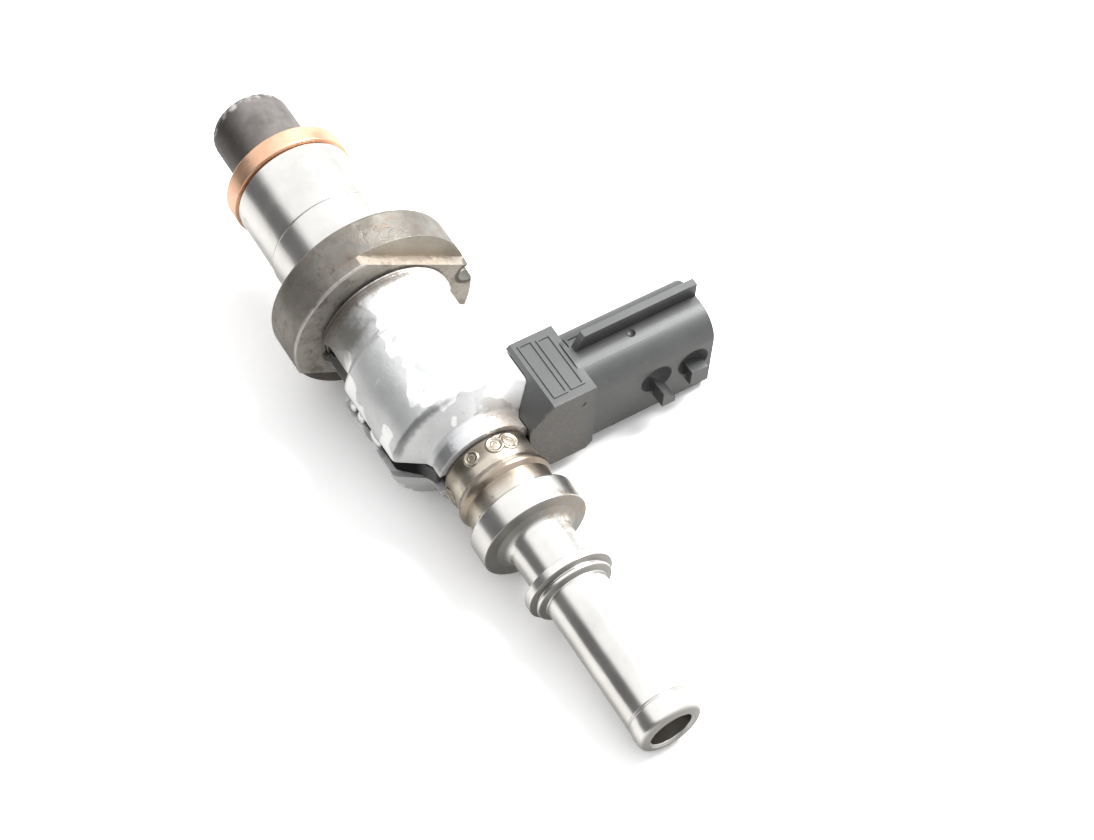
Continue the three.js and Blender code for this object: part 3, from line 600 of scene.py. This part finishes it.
def scorched_steel(tube):
    """The weld marks: dark in the sunken middle, bright on the lip."""
    paint = Paint("scorched_steel", metallic=1.0)
    height = paint.plus(paint.radius, -tube.radius)
    burn = paint.noise(0.5, detail=4)
    tint = paint.ramp(burn, (0.3, (0.28, 0.24, 0.19)), (0.7, (0.5, 0.45, 0.38)))
    color = paint.mix(paint.step(height, -0.08, 0.1, 0.95, 0.0), tint, (0.03, 0.022, 0.016))
    return paint.finish(color, paint.plus(paint.times(burn, 0.2), 0.2), burn, 0.3, 0.05)


def ground_steel():
    paint = Paint("ground_steel", metallic=1.0)
    cloud = paint.noise(2.0, detail=4)
    color = paint.ramp(cloud, (0.3, (0.42, 0.42, 0.41)), (0.7, (0.6, 0.6, 0.59)))
    roughness = paint.plus(paint.times(cloud, 0.2), 0.2)
    return paint.finish(color, roughness, cloud, 0.2, 0.05, paint.turning_marks(0.06))


def dark_nylon(block_end, block_outer):
    paint = Paint("dark_nylon")
    cloud = paint.noise(5.0, detail=4)
    speckle = paint.noise(0.16, detail=3, seed=2)
    fibre = paint.noise(0.5, detail=4, seed=7, stretch=(1, 3, 1))
    base = paint.ramp(cloud, (0.3, (0.034, 0.036, 0.036)), (0.7, (0.05, 0.052, 0.052)))
    flow = paint.mix(paint.step(fibre, 0.55, 0.75, 0.0, 0.3), base, (0.075, 0.075, 0.073))
    dust_line = paint.times(
        paint.step(paint.x, block_end - 0.4, block_end - 0.05),
        paint.step(paint.y, block_outer + 0.2, block_outer - 2.5, 0.0, 1.0),
        paint.step(paint.noise(0.35, detail=5, seed=9), 0.35, 0.75),
    )
    loose = paint.times(paint.step(paint.noise(1.6, detail=6, seed=12), 0.58, 0.74), 0.16)
    dust = paint.math("MAXIMUM", paint.times(dust_line, 0.8), loose)
    color = paint.mix(dust, flow, (0.165, 0.14, 0.115))
    # painted shade darkens the socket along the foot of the guide rail
    rail_foot_shade = paint.times(
        paint.band(paint.x, RAIL[1] - 0.1, RAIL[1] + 0.7, 0.9),
        paint.band(paint.z, 5.9, 7.85, 0.1),
        paint.step(paint.y, block_outer + 0.1, block_outer + 0.5),
    )
    # and the strip in the yoke's seam is painted black as shade, with its sheen turned down
    seam_edge = (-7.5, -6.0)
    seam = paint.step(paint.y, *seam_edge, 1.0, 0.0)
    color = paint.mix(paint.math("MAXIMUM", paint.times(rail_foot_shade, 0.7), seam), color, (0.012, 0.012, 0.012))
    roughness = paint.plus(paint.times(speckle, 0.18), paint.times(dust, 0.4), paint.times(seam, 0.4), 0.36)
    plug(paint.surface.inputs["Specular IOR Level"], paint.step(paint.y, *seam_edge, 0.05, 0.75))
    relief = paint.plus(paint.times(speckle, 0.6), paint.times(fibre, 0.4))
    return paint.finish(color, roughness, relief, 0.32, 0.06, paint.noise(2.2, detail=2, seed=5))


def pale_nylon():
    paint = Paint("pale_nylon")
    cloud = paint.noise(1.5, detail=4)
    color = paint.ramp(cloud, (0.3, (0.5, 0.44, 0.34)), (0.7, (0.62, 0.56, 0.45)))
    roughness = paint.plus(paint.times(cloud, 0.2), 0.4)
    return paint.finish(color, roughness, paint.noise(0.2, seed=3), 0.3)


def enamelled_copper():
    """Layers of fine wire, drawn as even ridges along the coil."""
    paint = Paint("enamelled_copper", metallic=1.0)
    wire = 0.35
    ridges = paint.math("ABSOLUTE", paint.math("SINE", paint.times(paint.x, pi / wire)))
    cloud = paint.noise(2.5)
    color = paint.ramp(cloud, (0.3, (0.36, 0.13, 0.05)), (0.7, (0.55, 0.23, 0.1)))
    shaded = paint.mix(paint.step(ridges, 0.0, 0.5, 0.7, 0.0), color, (0.08, 0.03, 0.015))
    return paint.finish(shaded, 0.28, ridges, 0.9, 0.15)


def tinned_contact():
    paint = Paint("tinned_contact", metallic=1.0)
    streak = paint.noise(0.3, detail=3, stretch=(1, 8, 1))
    color = paint.ramp(streak, (0.3, (0.68, 0.67, 0.62)), (0.7, (0.82, 0.81, 0.76)))
    roughness = paint.plus(paint.times(streak, 0.2), 0.16)
    return paint.finish(color, roughness, streak, 0.2, 0.03)


# ---- nozzle ----

def add_nozzle_cap(material):
    cap = Span("nozzle_cap")
    wall = 1.5
    bore = cap.radius - 1.1
    piece = turned("nozzle_cap_shell", [
        (cap.start, 0),
        (cap.start, cap.radius, 2.0),
        (cap.end, cap.radius, EDGE),
        (cap.end, bore, EDGE),
        (cap.start + wall, bore, 0.4),
        (cap.start + wall, 0),
    ])
    holes = []
    for index in range(4):
        angle = (index + 0.5) * pi / 2
        centre = (cap.start, SPRAY_CIRCLE * cos(angle), SPRAY_CIRCLE * sin(angle))
        holes.append(disc_cutter(f"spray_hole_{index}", centre, "x", SPRAY_HOLE, wall + 1))
    cut(piece, *holes)
    soften_edges(piece, 0.06, 2, 50)
    show(piece, material, "sooty_steel", "nozzle_cap")


def add_washer(material):
    washer = Span("copper_washer")
    bore = washer.radius - 2.8
    piece = turned("copper_washer_ring", [
        (washer.start, bore, EDGE),
        (washer.start, washer.radius, 0.3),
        (washer.end, washer.radius, 0.2),
        (washer.end, bore, EDGE),
    ], dent=0.03)
    show(piece, material, "copper", "copper_washer")


def add_nozzle_sleeve(material):
    sleeve = Span("nozzle_sleeve")
    washer = Span("copper_washer")
    cap = Span("nozzle_cap")
    spigot = cap.radius - 1.2
    shank = washer.radius - 3.0
    shoulder = washer.end + 0.08
    seat_bore = 2.3
    seat_bore_end = 10.8
    needle_bore = 3.5
    needle_bore_start = 12.0
    tube_bore = 6.0
    tube_depth = 2.85
    piece = turned("nozzle_sleeve_turned", [
        (sleeve.start, seat_bore),
        (sleeve.start, spigot, 0.2),
        (washer.start, spigot),
        (washer.start, shank),
        (shoulder, shank, 0.15),
        (shoulder, sleeve.radius - 0.3, 0.05),
        (shoulder + 0.3, sleeve.radius, 0.2),
        (sleeve.end, sleeve.radius, 0.2),
        (sleeve.end, tube_bore),
        (sleeve.end - tube_depth, tube_bore),
        (sleeve.end - tube_depth, needle_bore),
        (needle_bore_start, needle_bore),
        (seat_bore_end, seat_bore),
    ])
    show(piece, material, "polished_steel", "nozzle_sleeve")


def add_valve_housing(material):
    housing = Span("valve_housing")
    yoke = Span("yoke_upper")
    spigot = 7.2
    bore = 3.5
    socket = 4.2
    socket_depth = 3.9
    piece = turned("valve_housing_turned", [
        (housing.start, bore),
        (housing.start, housing.radius, 0.3),
        (yoke.start - 0.1, housing.radius, EDGE),
        (yoke.start - 0.1, spigot, EDGE),
        (housing.end, spigot, 0.3),
        (housing.end, socket, EDGE),
        (housing.end - socket_depth, socket),
        (housing.end - socket_depth, bore),
    ])
    show(piece, material, "polished_steel", "valve_housing")


def add_clamp_collar(material):
    collar = Span("clamp_collar")
    bore = Span("valve_housing").radius + 0.1
    piece = turned("clamp_collar_ring", [
        (collar.start, bore, EDGE),
        (collar.start, collar.radius, 0.5),
        (collar.end, collar.radius, 0.28),
        (collar.end, bore, EDGE),
    ], segments=220)
    clear = 20
    slabs = []
    for index, angle in enumerate((FLAT_ANGLE, FLAT_ANGLE + pi)):
        slab = box(f"flat_cutter_{index}", (collar.end - SHOULDER_DEPTH, collar.end + 4),
                   (-clear, clear), (FLAT_DISTANCE, clear + 10))
        slab.data.transform(Matrix.Rotation(-angle, 4, "X"))
        slabs.append(slab)
    notch_depth = 1.8
    notch = turned("notch_cutter", [
        (collar.end - notch_depth, 0),
        (collar.end - notch_depth, 1.3, 0.3),
        (collar.end + 2, 1.6),
        (collar.end + 2, 0),
    ], segments=40)
    notch.data.transform(Matrix.Translation(Vector((0, *NOTCH)) * MM))
    cut(piece, *slabs, notch)
    soften_edges(piece, 0.12, 3, 40)
    show(piece, material, "tarnished_steel", "clamp_collar")


# ---- yoke ----

def yoke_corners(yoke, inset, bend):
    """The pressed sheet's outline; inset 0 is its outside, SHEET its inside."""
    body_start, body_end = YOKE_BODY
    return [
        (yoke.start, YOKE_LIP - inset),
        (yoke.start + 0.5, YOKE_LIP - inset, 0.3),
        (yoke.start + 1.2, YOKE_NECK - inset, 0.5),
        (body_start - 1.5 + inset, YOKE_NECK - inset, 0.25 * bend),
        (body_start + inset, yoke.radius - inset, 2.0 * bend),
        (body_end - inset, yoke.radius - inset, bend),
        (body_end + 2.2 - inset, YOKE_REAR + 0.35 - inset, 0.9 * bend),
        (body_end + 2.9 - inset, YOKE_REAR - inset, 0.3),
        (yoke.end, YOKE_REAR - inset),
    ]


def half_shell(name, yoke, side, steps=110):
    """One pressed half of the yoke, ending on a flat seam on both sides."""
    outer = softened(yoke_corners(yoke, 0, 0.9), closed=False)
    inner = softened(yoke_corners(yoke, SHEET, 0.4), closed=False)
    outline = outer + inner[::-1]
    outer_count = len(outer)
    vertices = []
    for row, (x, radius) in enumerate(outline):
        first = asin(SEAM_HALF / radius)
        for index in range(steps + 1):
            angle = first + (pi - 2 * first) * index / steps
            place = Vector((x, radius * cos(angle), side * radius * sin(angle)))
            if row < outer_count and 0 < index < steps:
                place.yz = place.yz * (1 + dents(place) / radius)
            vertices.append(place)
    rows = len(outline)
    width = steps + 1
    faces = grid_faces(rows, width, True, False)
    faces.append(tuple(row * width for row in range(rows)))
    faces.append(tuple(row * width + steps for row in range(rows)))
    return make_piece(name, vertices, faces)


def dents(place):
    """Shallow waves left by the press, a broad set and a small one."""
    broad = noise.noise(place * 0.28) * 0.05
    small = noise.noise(place * 0.9 + Vector((7, 3, 1))) * 0.012
    return broad + small


def add_yoke(material):
    yoke = Span("yoke_upper")
    block = connector_sizes()
    opening_end = 58.1
    opening_half = 3.4
    for node, side in (("yoke_upper", 1), ("yoke_lower", -1)):
        piece = half_shell(f"{node}_shell", yoke, side)
        opening = box("opening", (block.start - 0.3, opening_end), (0, 20), (-opening_half, opening_half))
        cut(piece, opening)
        soften_edges(piece, 0.18, 3, 50)
        show(piece, material, "zinc_sheet", node, sharp=40)
    # three pressed tabs of the lower shell reach across the seam, opposite the connector
    for index, (x, length) in enumerate(((46.9, 1.3), (48.8, 1.3), (52.3, 2.4))):
        tab = ball(f"yoke_seam_tab_{index}", (0, 0, 0), 1.0)
        size = Matrix.Diagonal((length / 2, *TAB_HALF, 1))
        tab.data.transform(Matrix.Translation(Vector((x, *TAB_PLACE)) * MM) @ size)
        show(tab, material, "zinc_sheet")


# ---- connector ----

LUGS = ((23.85, 25.7, 2.1, 1.7), (28.6, 31.0, 1.1, 0.2))    # start and end along Y, rise, drop
DIMPLES = (24.1, 29.4)                                      # the round hollows at the lugs, along Y
GROOVES = (54.3, 55.2)                                      # the fine grooves beside the rail, along X
LABEL_FRAMES = (((53.1, 61.7), (9.45, 11.4)), ((53.4, 61.6), (11.85, 13.75)))   # along X, along Y


def connector_sizes():
    """The connector's main planes. The rail's top follows the CAD node."""
    return SimpleNamespace(
        start=52.35,
        end=62.8,
        top=6.1,
        inner=8.85,
        outer=14.7,
        mouth=32.2,
        socket_start=52.6,
        socket_side=62.0,
        socket_top=6.3,
        rail_top=Span("connector_body").high[2],
    )


def steel_keep_out(yoke):
    """The yoke and the tube behind it, grown by a small gap, for cutting the plastic."""
    gap = 0.15
    grown = [(x, radius + gap, *bend) for x, radius, *bend in yoke_corners(yoke, 0, 1.15)]
    tube = Span("inlet_sleeve").radius + gap
    return turned("keep_out", [
        (yoke.start, 0),
        *grown,
        (yoke.end + gap, YOKE_REAR + gap),
        (yoke.end + gap, tube),
        (yoke.end + 4, tube),
        (yoke.end + 4, 0),
    ], segments=96)


def connector_block(sizes):
    outline = softened([
        (sizes.outer, sizes.top),
        (sizes.inner, sizes.top),
        (5.6, 3.0, 0.6),
        (5.6, -3.0, 0.6),
        (sizes.inner, -sizes.top),
        (sizes.outer - 0.9, -sizes.top),
        (sizes.outer, 0.9 - sizes.top),
    ], closed=True)
    block = prism("connector_moulding", outline, "x", sizes.start, sizes.end)
    return cut(block, steel_keep_out(Span("yoke_upper")))


def rounded_outline(xs, zs, low_round, high_round):
    corners = [
        (xs[0], zs[0], low_round),
        (xs[1], zs[0], low_round),
        (xs[1], zs[1], high_round),
        (xs[0], zs[1], high_round),
    ]
    return softened(corners, closed=True, steps=14)


def socket_outside(sizes):
    xs = (sizes.socket_start, sizes.socket_side)
    outline = rounded_outline(xs, (-sizes.socket_top, sizes.socket_top), 1.2, 3.6)
    return prism("socket", outline, "y", sizes.outer - 0.6, sizes.mouth)


def socket_cavity(sizes):
    xs = (sizes.socket_start + 1.2, sizes.socket_side - 2.4)
    outline = rounded_outline(xs, (1.2 - sizes.socket_top, sizes.socket_top - 1.2), 0.6, 2.2)
    return prism("cavity", outline, "y", 18.0, sizes.mouth + 1)


def guide_rail(sizes):
    """The narrow rail on top of the socket, ramped up from the block."""
    foot = sizes.outer + 0.2
    outline = [
        (foot - 0.4, 5.2),
        (foot, 5.9),
        (foot + 1.3, sizes.rail_top),
        (sizes.mouth, sizes.rail_top),
        (sizes.mouth, 5.2),
    ]
    return prism("rail", outline, "x", *RAIL)


def latch_lug(sizes, start, end, rise, drop):
    """A lug the plug's latch snaps behind, standing on the socket's side."""
    top = -0.3
    bottom = -2.9
    outline = [(start, bottom), (start, top), (end, top - drop), (end, bottom)]
    return prism("lug", outline, "x", sizes.socket_side - 1.4, sizes.socket_side + rise)


def lug_dimple(sizes, y):
    """The ball that leaves a round hollow in the socket's side."""
    radius = 2.2
    depth = 1.0
    ball_radius = (radius ** 2 + depth ** 2) / (2 * depth)
    return ball("dimple", (sizes.socket_side + ball_radius - depth, y, 0.2), ball_radius, rings=40)


def label_frame(sizes, xs, ys):
    """A raised blank frame, like the one that holds a data plate."""
    line = 0.24
    rise = 0.14
    outer = box("frame", xs, ys, (sizes.top - 0.1, sizes.top + rise))
    inner = box("frame_inside", (xs[0] + line, xs[1] - line), (ys[0] + line, ys[1] - line),
                (sizes.top - 1, sizes.top + 1))
    return cut(outer, inner)


def coil_cover(sizes):
    """Plastic round the coil: a ring, the rib in the seam, and the neck out to the block."""
    coil = Span("coil_bobbin")
    cover = turned("coil_cover", [
        (coil.start, 7.8),
        (coil.start, 8.6, 0.3),
        (coil.end, 8.6, 0.3),
        (coil.end, 7.8),
    ], segments=96)
    rib = softened([
        (44.2, -7.6), (44.2, -8.4, 0.4), (46.0, -9.15, 0.8), (56.9, -9.15, 1.0),
        (59.0, -6.9, 0.6), (60.9, -6.0, 0.3), (60.9, -5.5), (57.0, -7.9),
    ], closed=True)
    seam_rib = prism("rib", rib, "z", -1.25, 1.25)
    neck = box("neck", (sizes.start + 0.3, 57.6), (7.9, 12.7), (-3, 3))
    return join(cover, seam_rib, neck)


def add_connector(material):
    sizes = connector_sizes()
    piece = connector_block(sizes)
    join(piece, socket_outside(sizes), guide_rail(sizes))
    cut(piece, *(lug_dimple(sizes, y) for y in DIMPLES))
    join(piece, *(latch_lug(sizes, *lug) for lug in LUGS))
    cut(piece, socket_cavity(sizes))
    grooves = []
    for index, x in enumerate(GROOVES):
        grooves.append(box(f"groove_{index}", (x, x + 0.18), (sizes.outer + 0.5, 31.4), (5.9, 7.0)))
    marks = [
        ball("ejector_mark", (58.2, 22.3, sizes.socket_top + 0.45), 0.75, rings=16),
        disc_cutter("gate_mark", (sizes.end, 12.9, 3.9), "x", 0.42, 0.08),
        box("crease", (54.8, 56.3), (sizes.outer - 0.05, sizes.outer + 0.13), (5.9, 7)),
    ]
    cut(piece, *grooves, *marks)
    join(piece, coil_cover(sizes))
    join(piece, *(label_frame(sizes, xs, ys) for xs, ys in LABEL_FRAMES))
    cut(piece, *(terminal_slot(side) for side in (-1, 1)))
    soften_edges(piece, 0.13, 3, 38)
    show(piece, material, "dark_nylon", "connector_body", sharp=38)


def terminal_slot(side):
    terminal = Span("terminal_upper" if side > 0 else "terminal_lower")
    return box("terminal_slot",
               (terminal.start - 0.1, terminal.end + 0.1),
               (terminal.low[1] - 1.5, 19.0),
               (terminal.low[2] - 0.1, terminal.high[2] + 0.1))


def add_terminals(material):
    for node in ("terminal_upper", "terminal_lower"):
        blade = Span(node)
        narrow = 0.2
        taper = 1.0
        outline = [
            (blade.low[1], blade.low[2]),
            (blade.high[1] - taper, blade.low[2]),
            (blade.high[1], blade.low[2] + narrow),
            (blade.high[1], blade.high[2] - narrow),
            (blade.high[1] - taper, blade.high[2]),
            (blade.low[1], blade.high[2]),
        ]
        piece = prism(f"{node}_blade", outline, "x", blade.start, blade.end)
        soften_edges(piece, 0.1, 3)
        show(piece, material, "tinned_contact", node)


# ---- inlet ----

def add_inlet_sleeve(material):
    tube = Span("inlet_sleeve")
    yoke = Span("yoke_upper")
    shoulder = yoke.end + 0.1
    spigot = 5.05
    spigot_bore = 4.2
    bore_step = 62.8
    piece = turned("inlet_sleeve_tube", [
        (tube.start, spigot_bore),
        (tube.start, spigot, EDGE),
        (shoulder, spigot),
        (shoulder, tube.radius, 0.35),
        (tube.end, tube.radius, EDGE),
        (tube.end, TUBE_BORE),
        (bore_step, TUBE_BORE),
        (bore_step, spigot_bore),
    ])
    show(piece, material, "heat_tinted_steel", "inlet_sleeve")
    ring = Span("retaining_ring")
    band = turned("retaining_ring_rolled", [
        (ring.start, tube.radius + 0.02),
        (ring.start + 0.75, ring.radius, 0.8),
        (ring.end - 0.55, ring.radius, 0.5),
        (ring.end, tube.radius + 0.02),
    ])
    show(band, material, "heat_tinted_steel", "retaining_ring")
    add_weld_spots(tube)


def add_weld_spots(tube):
    """Round weld marks in three groups round the tube: a raised lip with a sunken middle."""
    spot_material = scorched_steel(tube)
    for turn in range(3):
        for index, angle in enumerate(WELD_GROUP):
            reach = 1.05 + 0.12 * index
            lip = turned(f"weld_spot_{turn}_{index}", [
                (-0.25, 0),
                (-0.25, reach, 0.05),
                (0.0, reach - 0.02, 0.1),
                (0.17, reach - 0.22, 0.15),
                (0.0, reach - 0.5, 0.2),
                (0.05, 0.34, 0.1),
                (-0.12, 0.12, 0.06),
                (-0.12, 0),
            ], segments=48)
            stand = Matrix.Rotation(-pi / 2, 4, "Y")
            lift = Matrix.Translation(Vector((WELD_PLACE + 0.12 * index, 0, tube.radius)) * MM)
            swing = Matrix.Rotation(-radians(angle + 120 * turn), 4, "X")
            lip.data.transform(swing @ lift @ stand)
            show(lip, spot_material, "heat_tinted_steel", sharp=60)


def add_inlet_fitting(material):
    inlet = Span("inlet_fitting")
    tube = 3.95
    collar_end = INLET_COLLAR_END
    bead = 80.3
    bead_radius = 5.55
    groove = 99.5
    piece = turned("inlet_fitting_turned", [
        (inlet.start, TUBE_BORE),
        (inlet.start, inlet.radius - 0.5, 0.2),
        (inlet.start + 0.35, inlet.radius, 0.4),
        (collar_end, inlet.radius, 0.2),
        (collar_end + 0.1, 5.3, 0.4),
        (collar_end + 0.75, tube + 0.12, 1.1),
        (collar_end + 2.95, tube, 1.0),
        (bead - 0.15, tube, 0.15),
        (bead - 0.1, bead_radius, 0.12),
        (bead + 1.0, bead_radius, 0.12),
        (bead + 1.25, 4.65, 0.1),
        (bead + 1.42, 4.65, 0.1),
        (bead + 1.55, 4.95, 0.12),
        (bead + 1.95, 4.9, 0.25),
        (bead + 2.15, tube, 0.2),
        (groove - 0.2, tube, 0.1),
        (groove, tube - 0.14, 0.1),
        (groove + 0.25, tube + 0.02, 0.15),
        (groove + 1.1, tube + 0.13, 1.2),
        (inlet.end - 0.35, tube + 0.1, 0.9),
        (inlet.end, TUBE_BORE + 0.35, 0.2),
        (inlet.end - 0.35, TUBE_BORE, 0.15),
    ], segments=200)
    show(piece, material, "polished_steel", "inlet_fitting")


# ---- the pieces inside ----

def add_inner_pieces(steel, nylon, wire):
    finishes = {
        "valve_seat": steel, "needle_guide": steel, "lift_shim": steel, "valve_tube": steel,
        "fixed_core": steel, "spring_adjuster": steel, "needle": steel, "armature": steel,
        "return_spring": steel, "filter_screen": steel, "coil_bobbin": nylon,
        "filter_cage": nylon, "coil_winding": wire,
    }
    for node, material in finishes.items():
        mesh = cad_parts[node].data
        mesh.materials.clear()
        mesh.materials.append(material)


# ---- floor, light and camera ----

FLOOR_POINT = (37.4, -0.5, -12.45)   # where the collar's rim rests
FLOOR_RISE_X = 0.128                 # the floor's slope along the injector, collar to inlet
FLOOR_RISE_Y = 0.085                 # and across it, collar to connector


def add_floor():
    reach = 900
    x0, y0, z0 = FLOOR_POINT
    corners = []
    for x, y in ((-reach, -reach), (reach, -reach), (reach, reach), (-reach, reach)):
        corners.append((x0 + x, y0 + y, z0 + FLOOR_RISE_X * x + FLOOR_RISE_Y * y))
    floor = make_piece("floor", corners, [(0, 1, 2, 3)])
    if floor.data.polygons[0].normal.z < 0:
        floor.data.flip_normals()
    paint = Paint("floor_paint")
    # shown almost white, but a little greyer in the steel's reflections
    direct = paint.node("ShaderNodeLightPath").outputs["Is Camera Ray"]
    shade = paint.mix(direct, (0.62, 0.615, 0.6), (1.15, 1.15, 1.15))
    paint.finish(shade, 0.8, paint.noise(0.8), 0.02, 0.02)
    # seen from below the floor lets the view through
    clear = paint.node("ShaderNodeBsdfTransparent").outputs[0]
    facing = paint.node("ShaderNodeNewGeometry").outputs["Backfacing"]
    blend = paint.node("ShaderNodeMixShader", {0: facing, 1: paint.surface.outputs[0], 2: clear})
    plug(paint.tree.nodes["Material Output"].inputs["Surface"], blend.outputs[0])
    floor.data.materials.append(paint.material)


SKY_SIDE = Vector((-0.2, 0.55, 0.81))    # the middle of the bright half of the room
SKY_BRIGHT = 1.65
SKY_DARK = 0.22


def add_room_light():
    """A wide pale light over the connector's side, and a darker room on the other side."""
    world = bpy.data.worlds.new("room")
    bpy.context.scene.world = world
    world.use_nodes = True
    tree = world.node_tree
    tree.nodes.clear()
    direction = add_node(tree, "ShaderNodeTexCoord").outputs["Generated"]
    sides = {0: direction, 1: SKY_SIDE.normalized()}
    toward = add_node(tree, "ShaderNodeVectorMath", sides, operation="DOT_PRODUCT").outputs["Value"]
    rise = {"Value": toward, "From Min": 0.0, "From Max": 0.25, "To Min": SKY_DARK, "To Max": SKY_BRIGHT}
    glow = add_node(tree, "ShaderNodeMapRange", rise, interpolation_type="SMOOTHSTEP")
    # the camera itself sees a plain pale room
    rays = add_node(tree, "ShaderNodeLightPath").outputs["Is Camera Ray"]
    seen = add_node(tree, "ShaderNodeMix", {0: rays, 2: glow.outputs["Result"], 3: 1.0})
    background = add_node(tree, "ShaderNodeBackground", {"Strength": seen.outputs[0]})
    add_node(tree, "ShaderNodeOutputWorld", {"Surface": background.outputs[0]})


KEY_SIDE = Vector((-0.1, 0.62, 0.78))
KEY_AIM = (50, 5, 0)
KEY_DISTANCE = 500
KEY_SIZE = 300
KEY_POWER = 5.0             # watts


def add_key_light():
    lamp = bpy.data.lights.new("key", "AREA")
    lamp.shape = "DISK"
    lamp.size = KEY_SIZE * MM
    lamp.energy = KEY_POWER
    holder = add_object("key", lamp)
    holder.location = Vector(KEY_AIM) * MM + KEY_SIDE.normalized() * KEY_DISTANCE * MM
    holder.rotation_mode = "QUATERNION"
    holder.rotation_quaternion = KEY_SIDE.normalized().to_track_quat("Z", "Y")


CAMERA_AIM = (60.4, 9.5, 0.0)
CAMERA_DISTANCE = 263.3
CAMERA_AZIMUTH = 55.43
CAMERA_ELEVATION = 55.66
CAMERA_ROLL = 3.9
CAMERA_LENS = 72.4


def add_camera():
    azimuth = radians(CAMERA_AZIMUTH)
    elevation = radians(CAMERA_ELEVATION)
    back = Vector((sin(azimuth) * cos(elevation), -cos(azimuth) * cos(elevation), sin(elevation)))
    data = bpy.data.cameras.new("camera")
    data.lens = CAMERA_LENS
    data.clip_start = 0.01
    data.clip_end = 10
    holder = add_object("camera", data)
    holder.location = (Vector(CAMERA_AIM) + back * CAMERA_DISTANCE) * MM
    upright = back.to_track_quat("Z", "Y").to_matrix().to_4x4()
    turn = upright @ Matrix.Rotation(radians(CAMERA_ROLL), 4, "Z")
    holder.rotation_mode = "QUATERNION"
    holder.rotation_quaternion = turn.to_quaternion()
    bpy.context.scene.camera = holder


def build():
    sizes = connector_sizes()
    steel = polished_steel()
    tinted = heat_tinted_steel()
    inner = ground_steel()
    add_nozzle_cap(sooty_steel(Span("nozzle_cap")))
    add_washer(copper())
    add_nozzle_sleeve(steel)
    add_valve_housing(steel)
    add_clamp_collar(tarnished_steel(Span("clamp_collar")))
    add_yoke(zinc_sheet(Span("yoke_upper")))
    add_connector(dark_nylon(sizes.end, sizes.outer))
    add_terminals(tinned_contact())
    add_inlet_sleeve(tinted)
    add_inlet_fitting(steel)
    add_inner_pieces(inner, pale_nylon(), enamelled_copper())
    add_floor()
    add_room_light()
    add_key_light()
    add_camera()
    bpy.context.scene.view_settings.view_transform = "Standard"


build()
